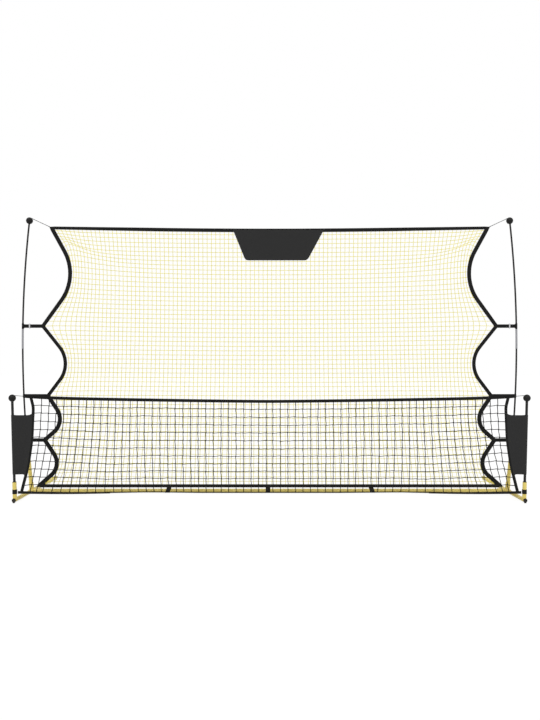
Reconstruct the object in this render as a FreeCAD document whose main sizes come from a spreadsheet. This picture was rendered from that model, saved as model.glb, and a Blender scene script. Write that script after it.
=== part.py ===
import FreeCAD, Part
import Sketcher
import math
import os
from FreeCAD import Placement, Rotation, Vector

# Pitch back rebounder: a yellow tube base that stands on the ground, two short front poles that
# hold a low coarse net, and two tall flexible poles that hold a high fine net with scalloped sides.
# X runs to the right, Y away from the player, Z up. The origin is on the ground under the middle.
# Everything is modelled for the right-hand side and mirrored to the left.

SIZES = [
    # base tubes
    ("rail_offset", 1753.0, "side rail centre line from the middle"),
    ("rail_length", 998.0, "side rail tube"),
    ("tube_diameter", 28.0, "all yellow tubes"),
    ("tube_wall", 1.5, "all yellow tubes"),
    ("crossbar_place", -113.0, "crossbar and tall net, along Y"),
    ("crossbar_joint", 587.0, "crossbar joint from the middle"),
    ("swage_length", 60.0, "narrowed end of a crossbar side section"),
    ("swage_taper", 5.0, "cone between the full and the narrowed tube"),
    ("tube_fit", 0.2, "gap round a tube that sits in another piece"),
    ("butt_gap", 0.3, "gap where two ends meet"),
    ("crossbar_clear", 2.0, "gap between the crossbar's end and the rail"),
    # rail end caps
    ("foot_height", 4.0, "flat foot under each end cap"),
    ("foot_width", 14.0, "flat foot under each end cap"),
    ("foot_root", 4.5, "foot inside the cap's head"),
    ("cap_head", 8.0, "cap outside the tube"),
    ("cap_plug", 25.0, "cap inside the tube"),
    ("cap_diameter", 27.0, "round head of the cap"),
    # corner fittings
    ("fitting_wall", 2.8, "sleeve wall"),
    ("fitting_run", 90.0, "sleeve along the rail"),
    ("fitting_branch", 75.0, "crossbar sleeve, from the rail's centre line"),
    ("fitting_riser", 62.0, "tall pole sleeve, from the rail's centre line"),
    # sockets, poles and balls
    ("rear_socket_length", 250.0, "tall pole socket, from the rail's centre line"),
    ("rear_lean", 5.8, "outward lean of the tall pole socket, degrees"),
    ("front_socket_inset", 17.0, "front pole and front net from the rail's front end"),
    ("front_socket_length", 122.0, "front socket, from the rail's centre line"),
    ("front_lean", 1.5, "outward lean of the front pole, degrees"),
    ("bush_flange", 3.0, "reducing bush above the socket's mouth"),
    ("front_bush_length", 60.0, "reducing bush in the front socket"),
    ("rear_bush_length", 80.0, "reducing bush in the tall pole socket"),
    ("pole_fit", 0.15, "gap round a pole"),
    ("front_pole_diameter", 18.0, "front pole"),
    ("front_pole_wall", 1.5, "front pole"),
    ("front_ball_height", 719.0, "centre of the front pole's ball"),
    ("tall_pole_diameter", 12.6, "tall pole rod"),
    ("bow_radius", 8250.0, "bend of the tall pole above its socket"),
    ("tall_ball_height", 2008.0, "centre of the tall pole's ball"),
    ("ferrule_length", 144.0, "metal ferrule"),
    ("ferrule_clear", 2.0, "ferrule below the upper strap's loop"),
    ("ferrule_wall", 1.0, "metal ferrule"),
    ("ball_diameter", 50.0, "round pole ends"),
    ("ball_bore", 28.0, "depth of the pole in its ball"),
    # snap buttons
    ("button_diameter", 7.8, "snap button"),
    ("button_proud", 3.6, "snap button above the tube it locks"),
    ("button_flange", 10.6, "collar of the snap button"),
    ("button_collar", 1.5, "thickness of that collar"),
    ("button_fit", 0.3, "gap round the snap button"),
    ("corner_button_inset", 50.0, "corner button from the rail's centre line"),
    ("spring_strip", 0.8, "thickness of the leaf spring"),
    ("spring_width", 6.0, "width of the leaf spring"),
    ("spring_reach", 16.0, "leaf spring from the button to its bend"),
    ("spring_top_leg", 8.0, "leg behind the button, past its middle"),
    ("spring_low_leg", 16.0, "leg on the far wall, past the button's middle"),
    # tall net
    ("webbing_width", 24.0, "border of the tall net"),
    ("webbing_thick", 2.5, "all webbing"),
    ("seam_gap", 0.3, "between a net and the webbing it is sewn to"),
    ("net_thick", 2.0, "tall net"),
    ("tall_strand", 5.0, "strand of the tall net"),
    ("tall_columns", 22.0, "gaps across the tall net"),
    ("tall_rows", 13.0, "gaps up the tall net"),
    ("top_corner_out", 1607.0, "top corner of the border's centre line"),
    ("top_corner_up", 1955.0, "top corner of the border's centre line"),
    ("top_sag", 26.0, "fall of the top edge to its middle"),
    ("top_sag_radius", 58000.0, "bend in the middle of the top edge"),
    ("bottom_corner_out", 1701.0, "bottom corner of the border's centre line"),
    ("bottom_edge", 53.0, "height of the bottom edge"),
    ("patch_thick", 1.5, "cloth patch"),
    ("patch_bottom", 1715.0, "lower edge of the patch"),
    ("patch_cover", 2.0, "patch short of the border's top edge"),
    ("patch_corner", 20.0, "rounding of the patch's lower corners"),
    ("patch_top_left", -261.0, "upper left corner of the patch"),
    ("patch_top_right", 388.0, "upper right corner of the patch"),
    ("patch_bottom_left", -181.0, "lower left corner of the patch"),
    ("patch_bottom_right", 281.0, "lower right corner of the patch"),
    # straps of the tall net
    ("upper_strap_out", 1672.0, "border at the upper strap, from the middle"),
    ("upper_strap_up", 1231.0, "height of the upper strap"),
    ("middle_strap_out", 1634.0, "border at the middle strap, from the middle"),
    ("middle_strap_up", 717.0, "height of the middle strap"),
    ("lower_strap_out", 1658.0, "border at the lower strap, from the middle"),
    ("lower_strap_up", 391.0, "height of the lower strap"),
    ("strap_width", 26.0, "strap from the pole to the border"),
    ("strap_thick", 2.0, "strap"),
    ("strap_loop_wall", 2.0, "loop of strap round the pole"),
    ("strap_loop_fit", 0.4, "gap between loop and pole"),
    ("upper_loop_height", 40.0, "loop of the upper strap"),
    ("slider_place", 1769.5, "slider on the upper strap, from the middle"),
    ("slider_width", 9.0, "slider along the strap"),
    ("slider_height", 37.0, "slider across the strap"),
    ("slider_thick", 8.0, "slider through the strap"),
    ("slider_fit", 0.6, "gap between slider and strap"),
    ("tab_width", 30.0, "tab that ties the net to the crossbar"),
    ("tab_fit", 0.3, "gap between a strap's loop and the tube in it"),
    ("left_tab_place", -734.0, "tab, from the middle"),
    ("middle_tab_place", -12.0, "tab, from the middle"),
    ("right_tab_place", 741.0, "tab, from the middle"),
    # front net
    ("front_webbing_width", 21.0, "border of the front net"),
    ("front_top_out", 1686.0, "outer end of the top border"),
    ("front_top_up", 731.0, "height of that end"),
    ("front_bend_out", 900.0, "where the top border turns to the middle"),
    ("front_bend_up", 695.0, "height of the top border in the middle"),
    ("front_middle_place", -297.0, "top border in the middle, along Y"),
    ("front_edge_out", 1643.0, "side border at the top"),
    ("front_foot_out", 1170.0, "where the hem reaches the crossbar"),
    ("hem_height", 13.0, "hem band"),
    ("hem_low", 12.0, "hem's middle along the crossbar"),
    ("hem_corner_up", 79.0, "hem's middle at the front socket"),
    ("hem_clear", 2.0, "hem in front of the crossbar tabs"),
    ("front_strand", 4.0, "strand of the front net"),
    ("front_columns", 31.0, "gaps across the front net"),
    ("front_rows", 6.0, "gaps up the front net"),
    ("panel_top", 602.0, "side panel's upper edge"),
    ("panel_bottom", 194.0, "side panel's lower edge"),
    ("panel_thick", 1.2, "side panel cloth"),
    ("socket_strap_low", 60.0, "strap round the front socket"),
    ("socket_strap_high", 90.0, "strap round the front socket"),
    ("cord_diameter", 4.0, "elastic corner cords"),
    ("cord_angle", 43.0, "where a cord leaves its ball, degrees in from the top"),
]

# Scallops of the tall net's side border, from the top down, each between two straps or corners:
# (distance out from the middle, share of the way down to the next strap, radius of the turn).
UPPER_SCALLOP = (1410.0, 0.497, 340.0)
MIDDLE_SCALLOP = (1454.0, 0.533, 198.0)
LOWER_SCALLOP = (1507.0, 0.592, 125.0)
BOTTOM_SCALLOP = (1532.0, 0.562, 118.0)

# Side border of the front net between its ends: (out from the middle, height, radius of the turn).
FRONT_SIDE = [(1626.0, 655.0, 150.0), (1636.0, 430.0, 900.0), (1662.0, 251.0, 900.0)]
FRONT_SIDE_FOOT = 1707.0

doc = FreeCAD.newDocument("pitch_back_rebounder")
sheet = doc.addObject("Spreadsheet::Sheet", "Sizes")
for row, (alias, value, note) in enumerate(SIZES, 1):
    sheet.set(f"A{row}", note)
    sheet.set(f"B{row}", str(value))
    sheet.setAlias(f"B{row}", alias)
doc.recompute()

UP = Vector(0, 0, 1)
OUT = Vector(1, 0, 0)
BACK = Vector(0, 1, 0)
nodes = {}


def size(alias):
    return float(sheet.get(alias))


def along(base, direction):
    """Placement that turns a piece built up Z to run from base along direction."""
    return Placement(base, Rotation(UP, direction))


def cylinder(name, radius, height, base, direction=UP):
    item = doc.addObject("Part::Cylinder", name)
    item.setExpression("Radius", radius)
    item.setExpression("Height", height)
    item.Placement = along(base, direction)
    return item


def box(name, length, width, height, corner, turn=None):
    item = doc.addObject("Part::Box", name)
    item.setExpression("Length", length)
    item.setExpression("Width", width)
    item.setExpression("Height", height)
    item.Placement = Placement(corner, turn or Rotation())
    return item


def ball(name, radius, centre):
    item = doc.addObject("Part::Sphere", name)
    item.setExpression("Radius", radius)
    item.Placement = Placement(centre, Rotation())
    return item


def cut(name, base, tool):
    item = doc.addObject("Part::Cut", name)
    item.Base = base
    item.Tool = tool
    return item


def fuse(name, pieces):
    item = doc.addObject("Part::MultiFuse", name)
    item.Shapes = pieces
    return item


def solid(name, shape):
    item = doc.addObject("Part::Feature", name)
    item.Shape = shape
    return item


def keep(name, item):
    item.Label = name
    nodes[name] = item
    return item


def mirrored(name, item):
    twin = doc.addObject("Part::Mirroring", name)
    twin.Source = item
    twin.Normal = OUT
    return twin


def keep_pair(name, item):
    """Keeps the right-hand piece and its mirror image on the left."""
    keep(f"right_{name}", item)
    keep(f"left_{name}", mirrored(f"left_{name}", item))


def turned_profile(name, points):
    """A body of revolution. Points are (radius, height) as sheet expressions, or 0."""
    body = doc.addObject("PartDesign::Body", name)
    planes = {f.Role: f for f in body.Origin.OriginFeatures}
    sketch = body.newObject("Sketcher::SketchObject", f"{name}_profile")
    sketch.AttachmentSupport = [(planes["XZ_Plane"], "")]
    sketch.MapMode = "FlatFace"
    places = [tuple(evaluated(e) for e in point) for point in points]
    count = len(places)
    for k in range(count):
        start = Vector(*places[k], 0)
        end = Vector(*places[(k + 1) % count], 0)
        sketch.addGeometry(Part.LineSegment(start, end), False)
    for k in range(count):
        sketch.addConstraint(Sketcher.Constraint("Coincident", k, 2, (k + 1) % count, 1))
    for k, point in enumerate(points):
        for kind, expression in zip(("DistanceX", "DistanceY"), point):
            value = evaluated(expression)
            index = sketch.addConstraint(Sketcher.Constraint(kind, -1, 1, k, 1, value))
            if isinstance(expression, str):
                sketch.setExpression(f"Constraints[{index}]", expression)
    turn = body.newObject("PartDesign::Revolution", f"{name}_turn")
    turn.Profile = sketch
    turn.ReferenceAxis = (sketch, ["V_Axis"])
    turn.Angle = 360
    body.Tip = turn
    return body


def evaluated(expression):
    """Value of a sheet expression such as Sizes.tube_diameter / 2, or of a plain number."""
    if not isinstance(expression, str):
        return float(expression)
    value = sheet.evalExpression(expression)
    return float(getattr(value, "Value", value))


def path_edges(points):
    """Edges of a flat path of (x, z, radius) points: straight runs with tangent arcs between."""
    spots = [Vector(x, 0, z) for x, z, _ in points]
    edges = []
    start = spots[0]
    for k in range(1, len(points) - 1):
        radius = points[k][2]
        if radius <= 0:
            edges.append(Part.LineSegment(start, spots[k]).toShape())
            start = spots[k]
            continue
        back = (spots[k - 1] - spots[k]).normalize()
        ahead = (spots[k + 1] - spots[k]).normalize()
        half = back.getAngle(ahead) / 2
        trim = radius / math.tan(half)
        middle = spots[k] + (back + ahead).normalize() * (radius / math.sin(half) - radius)
        first = spots[k] + back * trim
        last = spots[k] + ahead * trim
        edges.append(Part.LineSegment(start, first).toShape())
        edges.append(Part.Arc(first, middle, last).toShape())
        start = last
    edges.append(Part.LineSegment(start, spots[-1]).toShape())
    return edges


def shifted(points, distance, closed):
    """The path moved sideways, to the left of its direction, with mitred corners."""
    count = len(points)
    moved = []
    for k in range(count):
        here = Vector(points[k][0], points[k][1], 0)
        near = []
        if closed or k > 0:
            near.append(here - Vector(*points[k - 1][:2], 0))
        if closed or k < count - 1:
            near.append(Vector(*points[(k + 1) % count][:2], 0) - here)
        normals = [Vector(-d.y, d.x, 0).normalize() for d in near]
        if len(normals) == 1:
            spot = here + normals[0] * distance
            turn = 0.0
        else:
            mean = (normals[0] + normals[1]).normalize()
            spot = here + mean * (distance / mean.dot(normals[0]))
            turn = near[0].cross(near[1]).z
        radius = points[k][2]
        if radius > 0:
            radius += -distance if turn > 0 else distance
        moved.append((spot.x, spot.y, radius))
    return moved


def flat_face(points):
    """Face in the X Z plane inside a closed path that starts at a sharp corner."""
    closed = list(points) + [points[0]]
    return Part.Face(Part.Wire(path_edges(closed)))


def slab(name, face, thickness, front):
    """The face given its thickness along Y, from the place front."""
    flat = solid(f"{name}_face", face.translated(Vector(0, front, 0)))
    item = doc.addObject("Part::Extrusion", name)
    item.Base = flat
    item.DirMode = "Custom"
    item.Dir = BACK
    item.Solid = True
    item.setExpression("LengthFwd", thickness)
    return item


def flipped(points):
    """The same path on the left-hand side, in the opposite order."""
    return [(-x, z, radius) for x, z, radius in reversed(points)]


# Places that several pieces share
axis_height = size("foot_height") + size("tube_diameter") / 2
crossbar_y = size("crossbar_place")
rail_front = Vector(size("rail_offset"), -size("rail_length") / 2, axis_height)
front_y = rail_front.y + size("front_socket_inset")
corner = Vector(size("rail_offset"), crossbar_y, axis_height)
front_foot = Vector(size("rail_offset"), front_y, axis_height)
rear_lean = math.radians(size("rear_lean"))
front_lean = math.radians(size("front_lean"))
rear_way = Vector(math.sin(rear_lean), 0, math.cos(rear_lean))
front_way = Vector(math.sin(front_lean), 0, math.cos(front_lean))
TUBE_OUT = "Sizes.tube_diameter / 2"
TUBE_IN = "Sizes.tube_diameter / 2 - Sizes.tube_wall"
SLEEVE_IN = "Sizes.tube_diameter / 2 + Sizes.tube_fit"
SLEEVE_OUT = f"{SLEEVE_IN} + Sizes.fitting_wall"
POLE_SEAT = "(Sizes.tube_diameter / 2 + Sizes.butt_gap)"
AXIS_HEIGHT = "(Sizes.foot_height + Sizes.tube_diameter / 2)"


def button_hole(name, depth, place):
    """Cylinder that cuts a snap button's hole through the back of the tubes at place."""
    return cylinder(name, "Sizes.button_diameter / 2 + Sizes.button_fit", depth, place, BACK)


def make_rails():
    outer = cylinder("rail_outer", TUBE_OUT, "Sizes.rail_length", rail_front, BACK)
    inner = cylinder("rail_inner", TUBE_IN, "Sizes.rail_length", rail_front, BACK)
    keep_pair("side_rail", cut("right_side_rail", outer, inner))


def make_end_caps():
    head = cylinder("cap_head", "Sizes.cap_diameter / 2", "Sizes.cap_head",
                    rail_front - BACK * size("cap_head"), BACK)
    plug = cylinder("cap_plug", f"{TUBE_IN} - Sizes.tube_fit", "Sizes.cap_plug", rail_front, BACK)
    foot_corner = Vector(rail_front.x - size("foot_width") / 2, rail_front.y - size("cap_head"), 0)
    foot = box("cap_foot", "Sizes.foot_width", "Sizes.cap_head",
               "Sizes.foot_height + Sizes.foot_root", foot_corner)
    front_right = fuse("front_right_cap", [head, plug, foot])
    rear_right = doc.addObject("Part::Mirroring", "rear_right_cap")
    rear_right.Source = front_right
    rear_right.Normal = BACK
    group = doc.addObject("Part::Compound", "rail_end_caps")
    group.Links = [
        front_right,
        rear_right,
        mirrored("front_left_cap", front_right),
        mirrored("rear_left_cap", rear_right),
    ]
    keep("rail_end_caps", group)


def corner_button_place():
    return corner - OUT * size("corner_button_inset")


def make_corner_fittings():
    run_start = corner - BACK * (size("fitting_run") / 2)
    shell = fuse("fitting_shell", [
        cylinder("fitting_run_sleeve", SLEEVE_OUT, "Sizes.fitting_run", run_start, BACK),
        cylinder("fitting_branch_sleeve", SLEEVE_OUT, "Sizes.fitting_branch", corner, -OUT),
        cylinder("fitting_riser_sleeve", SLEEVE_OUT, "Sizes.fitting_riser", corner, rear_way),
    ])
    bores = fuse("fitting_bores", [
        cylinder("fitting_run_bore", SLEEVE_IN, "Sizes.fitting_run", run_start, BACK),
        cylinder("fitting_branch_bore", SLEEVE_IN, "Sizes.fitting_branch", corner, -OUT),
        cylinder("fitting_riser_bore", SLEEVE_IN, "Sizes.fitting_riser", corner, rear_way),
        button_hole("fitting_button_hole", "Sizes.tube_diameter", corner_button_place()),
    ])
    keep_pair("corner_fitting", cut("right_corner_fitting", shell, bores))


def make_crossbar():
    joint = size("crossbar_joint")
    middle = Vector(0, crossbar_y, axis_height)
    start = middle - OUT * joint
    outer = cylinder("centre_outer", TUBE_OUT, "2 * Sizes.crossbar_joint", start, OUT)
    inner = cylinder("centre_inner", TUBE_IN, "2 * Sizes.crossbar_joint", start, OUT)
    holes = [
        button_hole(f"centre_hole_{side:+d}", "Sizes.tube_diameter",
                    middle + OUT * side * joint_button_out())
        for side in (-1, 1)
    ]
    keep("crossbar_centre", cut("crossbar_centre", outer, fuse("centre_cuts", [inner] + holes)))

    # side section: full tube from the corner fitting, narrowed where it enters the centre tube
    swage_out = f"{TUBE_IN} - Sizes.tube_fit"
    swage_in = f"{swage_out} - Sizes.tube_wall"
    tip = "Sizes.crossbar_joint - Sizes.swage_length"
    shoulder = "Sizes.crossbar_joint + Sizes.butt_gap"
    full = f"{shoulder} + Sizes.swage_taper"
    end = "Sizes.rail_offset - Sizes.tube_diameter / 2 - Sizes.crossbar_clear"
    profile = turned_profile("crossbar_side", [
        (swage_out, tip), (swage_out, shoulder), (TUBE_OUT, full), (TUBE_OUT, end),
        (TUBE_IN, end), (TUBE_IN, full), (swage_in, shoulder), (swage_in, tip),
    ])
    profile.Placement = along(middle, OUT)
    holes = fuse("crossbar_side_holes", [
        button_hole("side_joint_hole", "Sizes.tube_diameter", middle + OUT * joint_button_out()),
        button_hole("side_corner_hole", "Sizes.tube_diameter", corner_button_place()),
    ])
    keep("crossbar_right", cut("crossbar_right", profile, holes))
    keep("crossbar_left", mirrored("crossbar_left", nodes["crossbar_right"]))


def joint_button_out():
    return size("crossbar_joint") - size("swage_length") / 2


def make_snap_button(name, place, bore, cover):
    """Domed pin on a collar inside the tube of inner radius bore, proud of the radius cover."""
    collar_top = f"sqrt(({bore}) * ({bore}) - (Sizes.button_flange / 2) ^ 2) - Sizes.tube_fit"
    collar_base = f"({collar_top} - Sizes.button_collar)"
    dome = "Sizes.button_diameter / 2"
    pin_top = f"({cover}) + Sizes.button_proud - {dome}"
    base = place + BACK * evaluated(collar_base)
    pieces = [
        cylinder(f"{name}_collar", "Sizes.button_flange / 2", "Sizes.button_collar", base, BACK),
        cylinder(f"{name}_pin", dome, f"{pin_top} - {collar_base}", base, BACK),
        ball(f"{name}_dome", dome, place + BACK * evaluated(pin_top)),
    ]
    keep_pair(name, fuse(f"right_{name}", pieces))

    # leaf spring bent like a hairpin, between the collar and the far wall
    top = evaluated(collar_base) - size("butt_gap")
    low = -math.sqrt(evaluated(bore) ** 2 - (size("spring_width") / 2) ** 2) + size("butt_gap")
    bend_radius = (top - low) / 2
    strip = size("spring_strip")
    bend = place + OUT * size("spring_reach") + BACK * ((top + low) / 2)
    half_width = UP * (size("spring_width") / 2)
    bend_turn = Rotation(UP, -90)
    rings = []
    for part, radius in (("outer", bend_radius), ("inner", bend_radius - strip)):
        ring = doc.addObject("Part::Cylinder", f"{name}_bend_{part}")
        ring.Radius = radius
        ring.Angle = 180
        ring.setExpression("Height", "Sizes.spring_width")
        ring.Placement = Placement(bend - half_width, bend_turn)
        rings.append(ring)
    legs = []
    for part, level in (("top", top - strip), ("low", low)):
        leg = f"spring_{part}_leg"
        legs.append(box(
            f"{name}_leg_{part}", f"Sizes.spring_reach + Sizes.{leg}", "Sizes.spring_strip",
            "Sizes.spring_width", place - OUT * size(leg) + BACK * level - half_width,
        ))
    return fuse(f"{name}_spring", legs + [cut(f"{name}_bend", *rings)])


def make_snap_buttons():
    swage_bore = f"{TUBE_IN} - Sizes.tube_fit - Sizes.tube_wall"
    middle = Vector(0, crossbar_y, axis_height)
    springs = [
        make_snap_button("joint_button", middle + OUT * joint_button_out(), swage_bore, TUBE_OUT),
        make_snap_button("corner_button", corner_button_place(), TUBE_IN, SLEEVE_OUT),
    ]
    group = doc.addObject("Part::Compound", "button_springs")
    group.Links = springs + [mirrored(f"left_spring_{k}", s) for k, s in enumerate(springs)]
    keep("button_springs", group)


def make_sockets():
    seat = "Sizes.tube_diameter / 2 + Sizes.butt_gap + Sizes.tube_fit"
    start = corner + rear_way * evaluated(seat)
    length = f"Sizes.rear_socket_length - ({seat})"
    outer = cylinder("rear_socket_outer", TUBE_OUT, length, start, rear_way)
    inner = cylinder("rear_socket_inner", TUBE_IN, length, start, rear_way)
    rear = cut("rear_socket_tube", outer, inner)
    saddle = cylinder("rear_socket_saddle", SLEEVE_IN, "Sizes.fitting_run",
                      corner - BACK * (size("fitting_run") / 2), BACK)
    keep_pair("rear_socket", cut("right_rear_socket", rear, saddle))

    length = "Sizes.front_socket_length"
    outer = cylinder("front_socket_outer", TUBE_OUT, length, front_foot, front_way)
    inner = cylinder("front_socket_inner", TUBE_IN, length, front_foot, front_way)
    front = cut("front_socket_tube", outer, inner)
    rail = cylinder("front_socket_saddle", SLEEVE_IN, "Sizes.rail_length", rail_front, BACK)
    keep_pair("front_socket", cut("right_front_socket", front, rail))


def make_bush(name, pole, length, mouth, way):
    """Reducing bush that fills the socket round a thinner pole, with a lip on the socket's end."""
    plug = f"{TUBE_IN} - Sizes.pole_fit"
    lip = f"{TUBE_OUT} - Sizes.tube_wall / 3"
    bore = f"{pole} / 2 + Sizes.pole_fit"
    bush = turned_profile(name, [
        (bore, f"-{length}"), (plug, f"-{length}"), (plug, 0), (lip, 0),
        (lip, "Sizes.bush_flange"), (bore, "Sizes.bush_flange"),
    ])
    bush.Placement = along(mouth, way)
    group = doc.addObject("Part::Compound", f"{name}es")
    group.Links = [bush, mirrored(f"left_{name}", bush)]
    keep(f"{name}es", group)


def make_ball(name, centre, way, pole):
    """Round pole end with a blind hole that the pole goes into."""
    sphere = ball(f"{name}_sphere", "Sizes.ball_diameter / 2", centre)
    bore_start = centre + way * size("butt_gap")
    bore = cylinder(f"{name}_bore", f"{pole} / 2 + Sizes.pole_fit", "Sizes.ball_bore",
                    bore_start, -way)
    keep_pair(name, cut(f"right_{name}", sphere, bore))


def make_front_poles():
    mouth = front_foot + front_way * size("front_socket_length")
    make_bush("front_pole_bush", "Sizes.front_pole_diameter", "Sizes.front_bush_length",
              mouth, front_way)
    rise = f"(Sizes.front_ball_height - {AXIS_HEIGHT}) / cos(Sizes.front_lean)"
    length = f"{rise} - {POLE_SEAT}"
    start = front_foot + front_way * evaluated(POLE_SEAT)
    outer = cylinder("front_pole_outer", "Sizes.front_pole_diameter / 2", length, start, front_way)
    inner = cylinder("front_pole_inner", "Sizes.front_pole_diameter / 2 - Sizes.front_pole_wall",
                     length, start, front_way)
    keep_pair("front_pole", cut("right_front_pole", outer, inner))
    make_ball("front_pole_ball", front_ball_centre(), front_way, "Sizes.front_pole_diameter")


def front_ball_centre():
    reach = (size("front_ball_height") - axis_height) / math.cos(front_lean)
    return front_foot + front_way * reach


class Bow:
    """Bend of the tall pole above its socket: an arc that leaves the socket along its lean."""

    def __init__(self):
        self.mouth = corner + rear_way * size("rear_socket_length")
        inward = Vector(-math.cos(rear_lean), 0, math.sin(rear_lean))
        self.radius = size("bow_radius")
        self.centre = self.mouth + inward * self.radius

    def angle(self, height):
        """Angle of the arc at that height, from the X axis."""
        return math.asin((height - self.centre.z) / self.radius)

    def point(self, height):
        angle = self.angle(height)
        return self.centre + Vector(math.cos(angle), 0, math.sin(angle)) * self.radius

    def way(self, height):
        angle = self.angle(height)
        return Vector(-math.sin(angle), 0, math.cos(angle))

    def rod(self, name, radius, low, high):
        """Round rod along the bow between two heights."""
        item = doc.addObject("Part::Torus", name)
        item.Radius1 = self.radius
        item.setExpression("Radius2", radius)
        first = math.degrees(self.angle(low))
        item.Angle3 = math.degrees(self.angle(high)) - first
        item.Placement = Placement(self.centre, Rotation(OUT, 90) * Rotation(UP, first))
        return item


bow = Bow()


def make_tall_poles():
    make_bush("rear_pole_bush", "Sizes.tall_pole_diameter", "Sizes.rear_bush_length",
              bow.mouth, rear_way)
    rod = "Sizes.tall_pole_diameter / 2"
    strap_low = size("upper_strap_up") - size("upper_loop_height") / 2
    ferrule_high = strap_low - size("ferrule_clear")
    ferrule_low = ferrule_high - size("ferrule_length")
    middle = (ferrule_low + ferrule_high) / 2
    straight = cylinder("lower_straight", rod, f"Sizes.rear_socket_length - {POLE_SEAT}",
                        corner + rear_way * evaluated(POLE_SEAT), rear_way)
    bent = bow.rod("lower_bow", rod, bow.mouth.z, middle)
    keep_pair("tall_pole_lower", fuse("right_tall_pole_lower", [straight, bent]))
    top = size("tall_ball_height")
    keep_pair("tall_pole_upper", bow.rod("upper_bow", rod, middle + size("butt_gap"), top))
    bore = f"{rod} + Sizes.pole_fit"
    past = size("ferrule_wall")
    outer = bow.rod("ferrule_outer", f"{bore} + Sizes.ferrule_wall", ferrule_low, ferrule_high)
    inner = bow.rod("ferrule_inner", bore, ferrule_low - past, ferrule_high + past)
    keep_pair("tall_pole_ferrule", cut("right_tall_pole_ferrule", outer, inner))
    make_ball("tall_pole_ball", bow.point(top), bow.way(top), "Sizes.tall_pole_diameter")


def strap_turn(name):
    """Sharp turn of the border where a strap pulls it outwards."""
    return (size(f"{name}_strap_out"), size(f"{name}_strap_up"), 0.0)


def border_side():
    """Right-hand side of the tall net's border from the top corner down, along its middle."""
    turns = [
        (size("top_corner_out"), size("top_corner_up"), 0.0),
        strap_turn("upper"), strap_turn("middle"), strap_turn("lower"),
        (size("bottom_corner_out"), size("bottom_edge"), 0.0),
    ]
    scallops = [UPPER_SCALLOP, MIDDLE_SCALLOP, LOWER_SCALLOP, BOTTOM_SCALLOP]
    side = [turns[0]]
    for above, (out, share, radius), below in zip(turns, scallops, turns[1:]):
        side += [(out, above[1] + share * (below[1] - above[1]), radius), below]
    return side


def border_ring():
    """Closed middle line of the tall net's border: the top left corner, the top edge, both sides."""
    right = border_side()
    left = flipped(right)
    sag = (0.0, size("top_corner_up") - size("top_sag"), size("top_sag_radius"))
    return [left[-1], sag] + right + left[:-1]


def make_tall_net():
    ring = border_ring()
    half = size("webbing_width") / 2
    outer = shifted(ring, half, True)
    inner = shifted(ring, -half, True)
    front = crossbar_y - size("webbing_thick") / 2
    count = len(ring)
    foot = (count + 1) // 2
    bands = {
        "tall_net_top_webbing": range(0, 3),
        "tall_net_right_webbing": range(2, foot + 1),
        "tall_net_bottom_webbing": range(foot, foot + 2),
        "tall_net_left_webbing": range(foot + 1, count + 1),
    }
    for name, span in bands.items():
        there = path_edges([outer[k % count] for k in span])
        back = path_edges([inner[k % count] for k in reversed(span)])
        ends = [
            Part.LineSegment(there[-1].lastVertex().Point, back[0].firstVertex().Point).toShape(),
            Part.LineSegment(back[-1].lastVertex().Point, there[0].firstVertex().Point).toShape(),
        ]
        face = Part.Face(Part.Wire(there + [ends[0]] + back + [ends[1]]))
        keep(name, slab(name, face, "Sizes.webbing_thick", front))

    outline = flat_face(shifted(ring, -half - size("seam_gap"), True))
    columns = int(size("tall_columns"))
    rows = int(size("tall_rows"))
    strand = size("tall_strand")
    left_side = -size("top_corner_out")
    low = size("bottom_edge") + half
    wide = 2 * size("top_corner_out") / columns
    high = (size("top_corner_up") - half - low) / rows
    gaps = []
    for column in range(-1, columns + 1):
        for row in range(rows):
            spot = Vector(left_side + column * wide + strand / 2, 0, low + row * high + strand / 2)
            gaps.append(Part.makePlane(wide - strand, high - strand, spot, -BACK, OUT))
    net = max(outline.cut(gaps).Faces, key=lambda face: face.Area)
    keep("tall_net", slab("tall_net", net, "Sizes.net_thick", crossbar_y - size("net_thick") / 2))
    return outer


def make_patch():
    top = size("top_corner_up") + size("webbing_width") / 2 - size("top_sag") - size("patch_cover")
    low = size("patch_bottom")
    radius = size("patch_corner")
    face = flat_face([
        (size("patch_top_left"), top, 0.0), (size("patch_top_right"), top, 0.0),
        (size("patch_bottom_right"), low, radius), (size("patch_bottom_left"), low, radius),
    ])
    front = crossbar_y - size("webbing_thick") / 2 - size("seam_gap") - size("patch_thick")
    keep("tall_net_patch", slab("tall_net_patch", face, "Sizes.patch_thick", front))


def make_straps():
    """Straps from the tall poles to the sharp turns of the border, each with a loop on its pole."""
    sewn = flat_face(shifted(border_ring(), size("webbing_width") / 2 + size("seam_gap"), True))
    half = size("strap_width") / 2
    front = crossbar_y - size("strap_thick") / 2
    bore = "Sizes.tall_pole_diameter / 2 + Sizes.strap_loop_fit"
    loops = {"upper": "upper_loop_height", "middle": "strap_width", "lower": "strap_width"}
    for name, loop_height in loops.items():
        out, height, _ = strap_turn(name)
        pole = bow.point(height)
        way = bow.way(height)
        low = height - half
        high = height + half
        flat = flat_face([(out, low, 0.0), (pole.x, low, 0.0), (pole.x, high, 0.0), (out, high, 0.0)])
        tail = slab(f"{name}_strap_tail", flat.cut(sewn), "Sizes.strap_thick", front)
        loop = cylinder(f"{name}_strap_loop", f"{bore} + Sizes.strap_loop_wall",
                        f"Sizes.{loop_height}", pole - way * (size(loop_height) / 2), way)
        hole = cylinder(f"{name}_strap_hole", bore, f"Sizes.{loop_height} * 2",
                        pole - way * size(loop_height), way)
        body = fuse(f"{name}_strap_body", [tail, loop])
        keep_pair(f"{name}_strap", cut(f"right_{name}_strap", body, hole))


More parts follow.
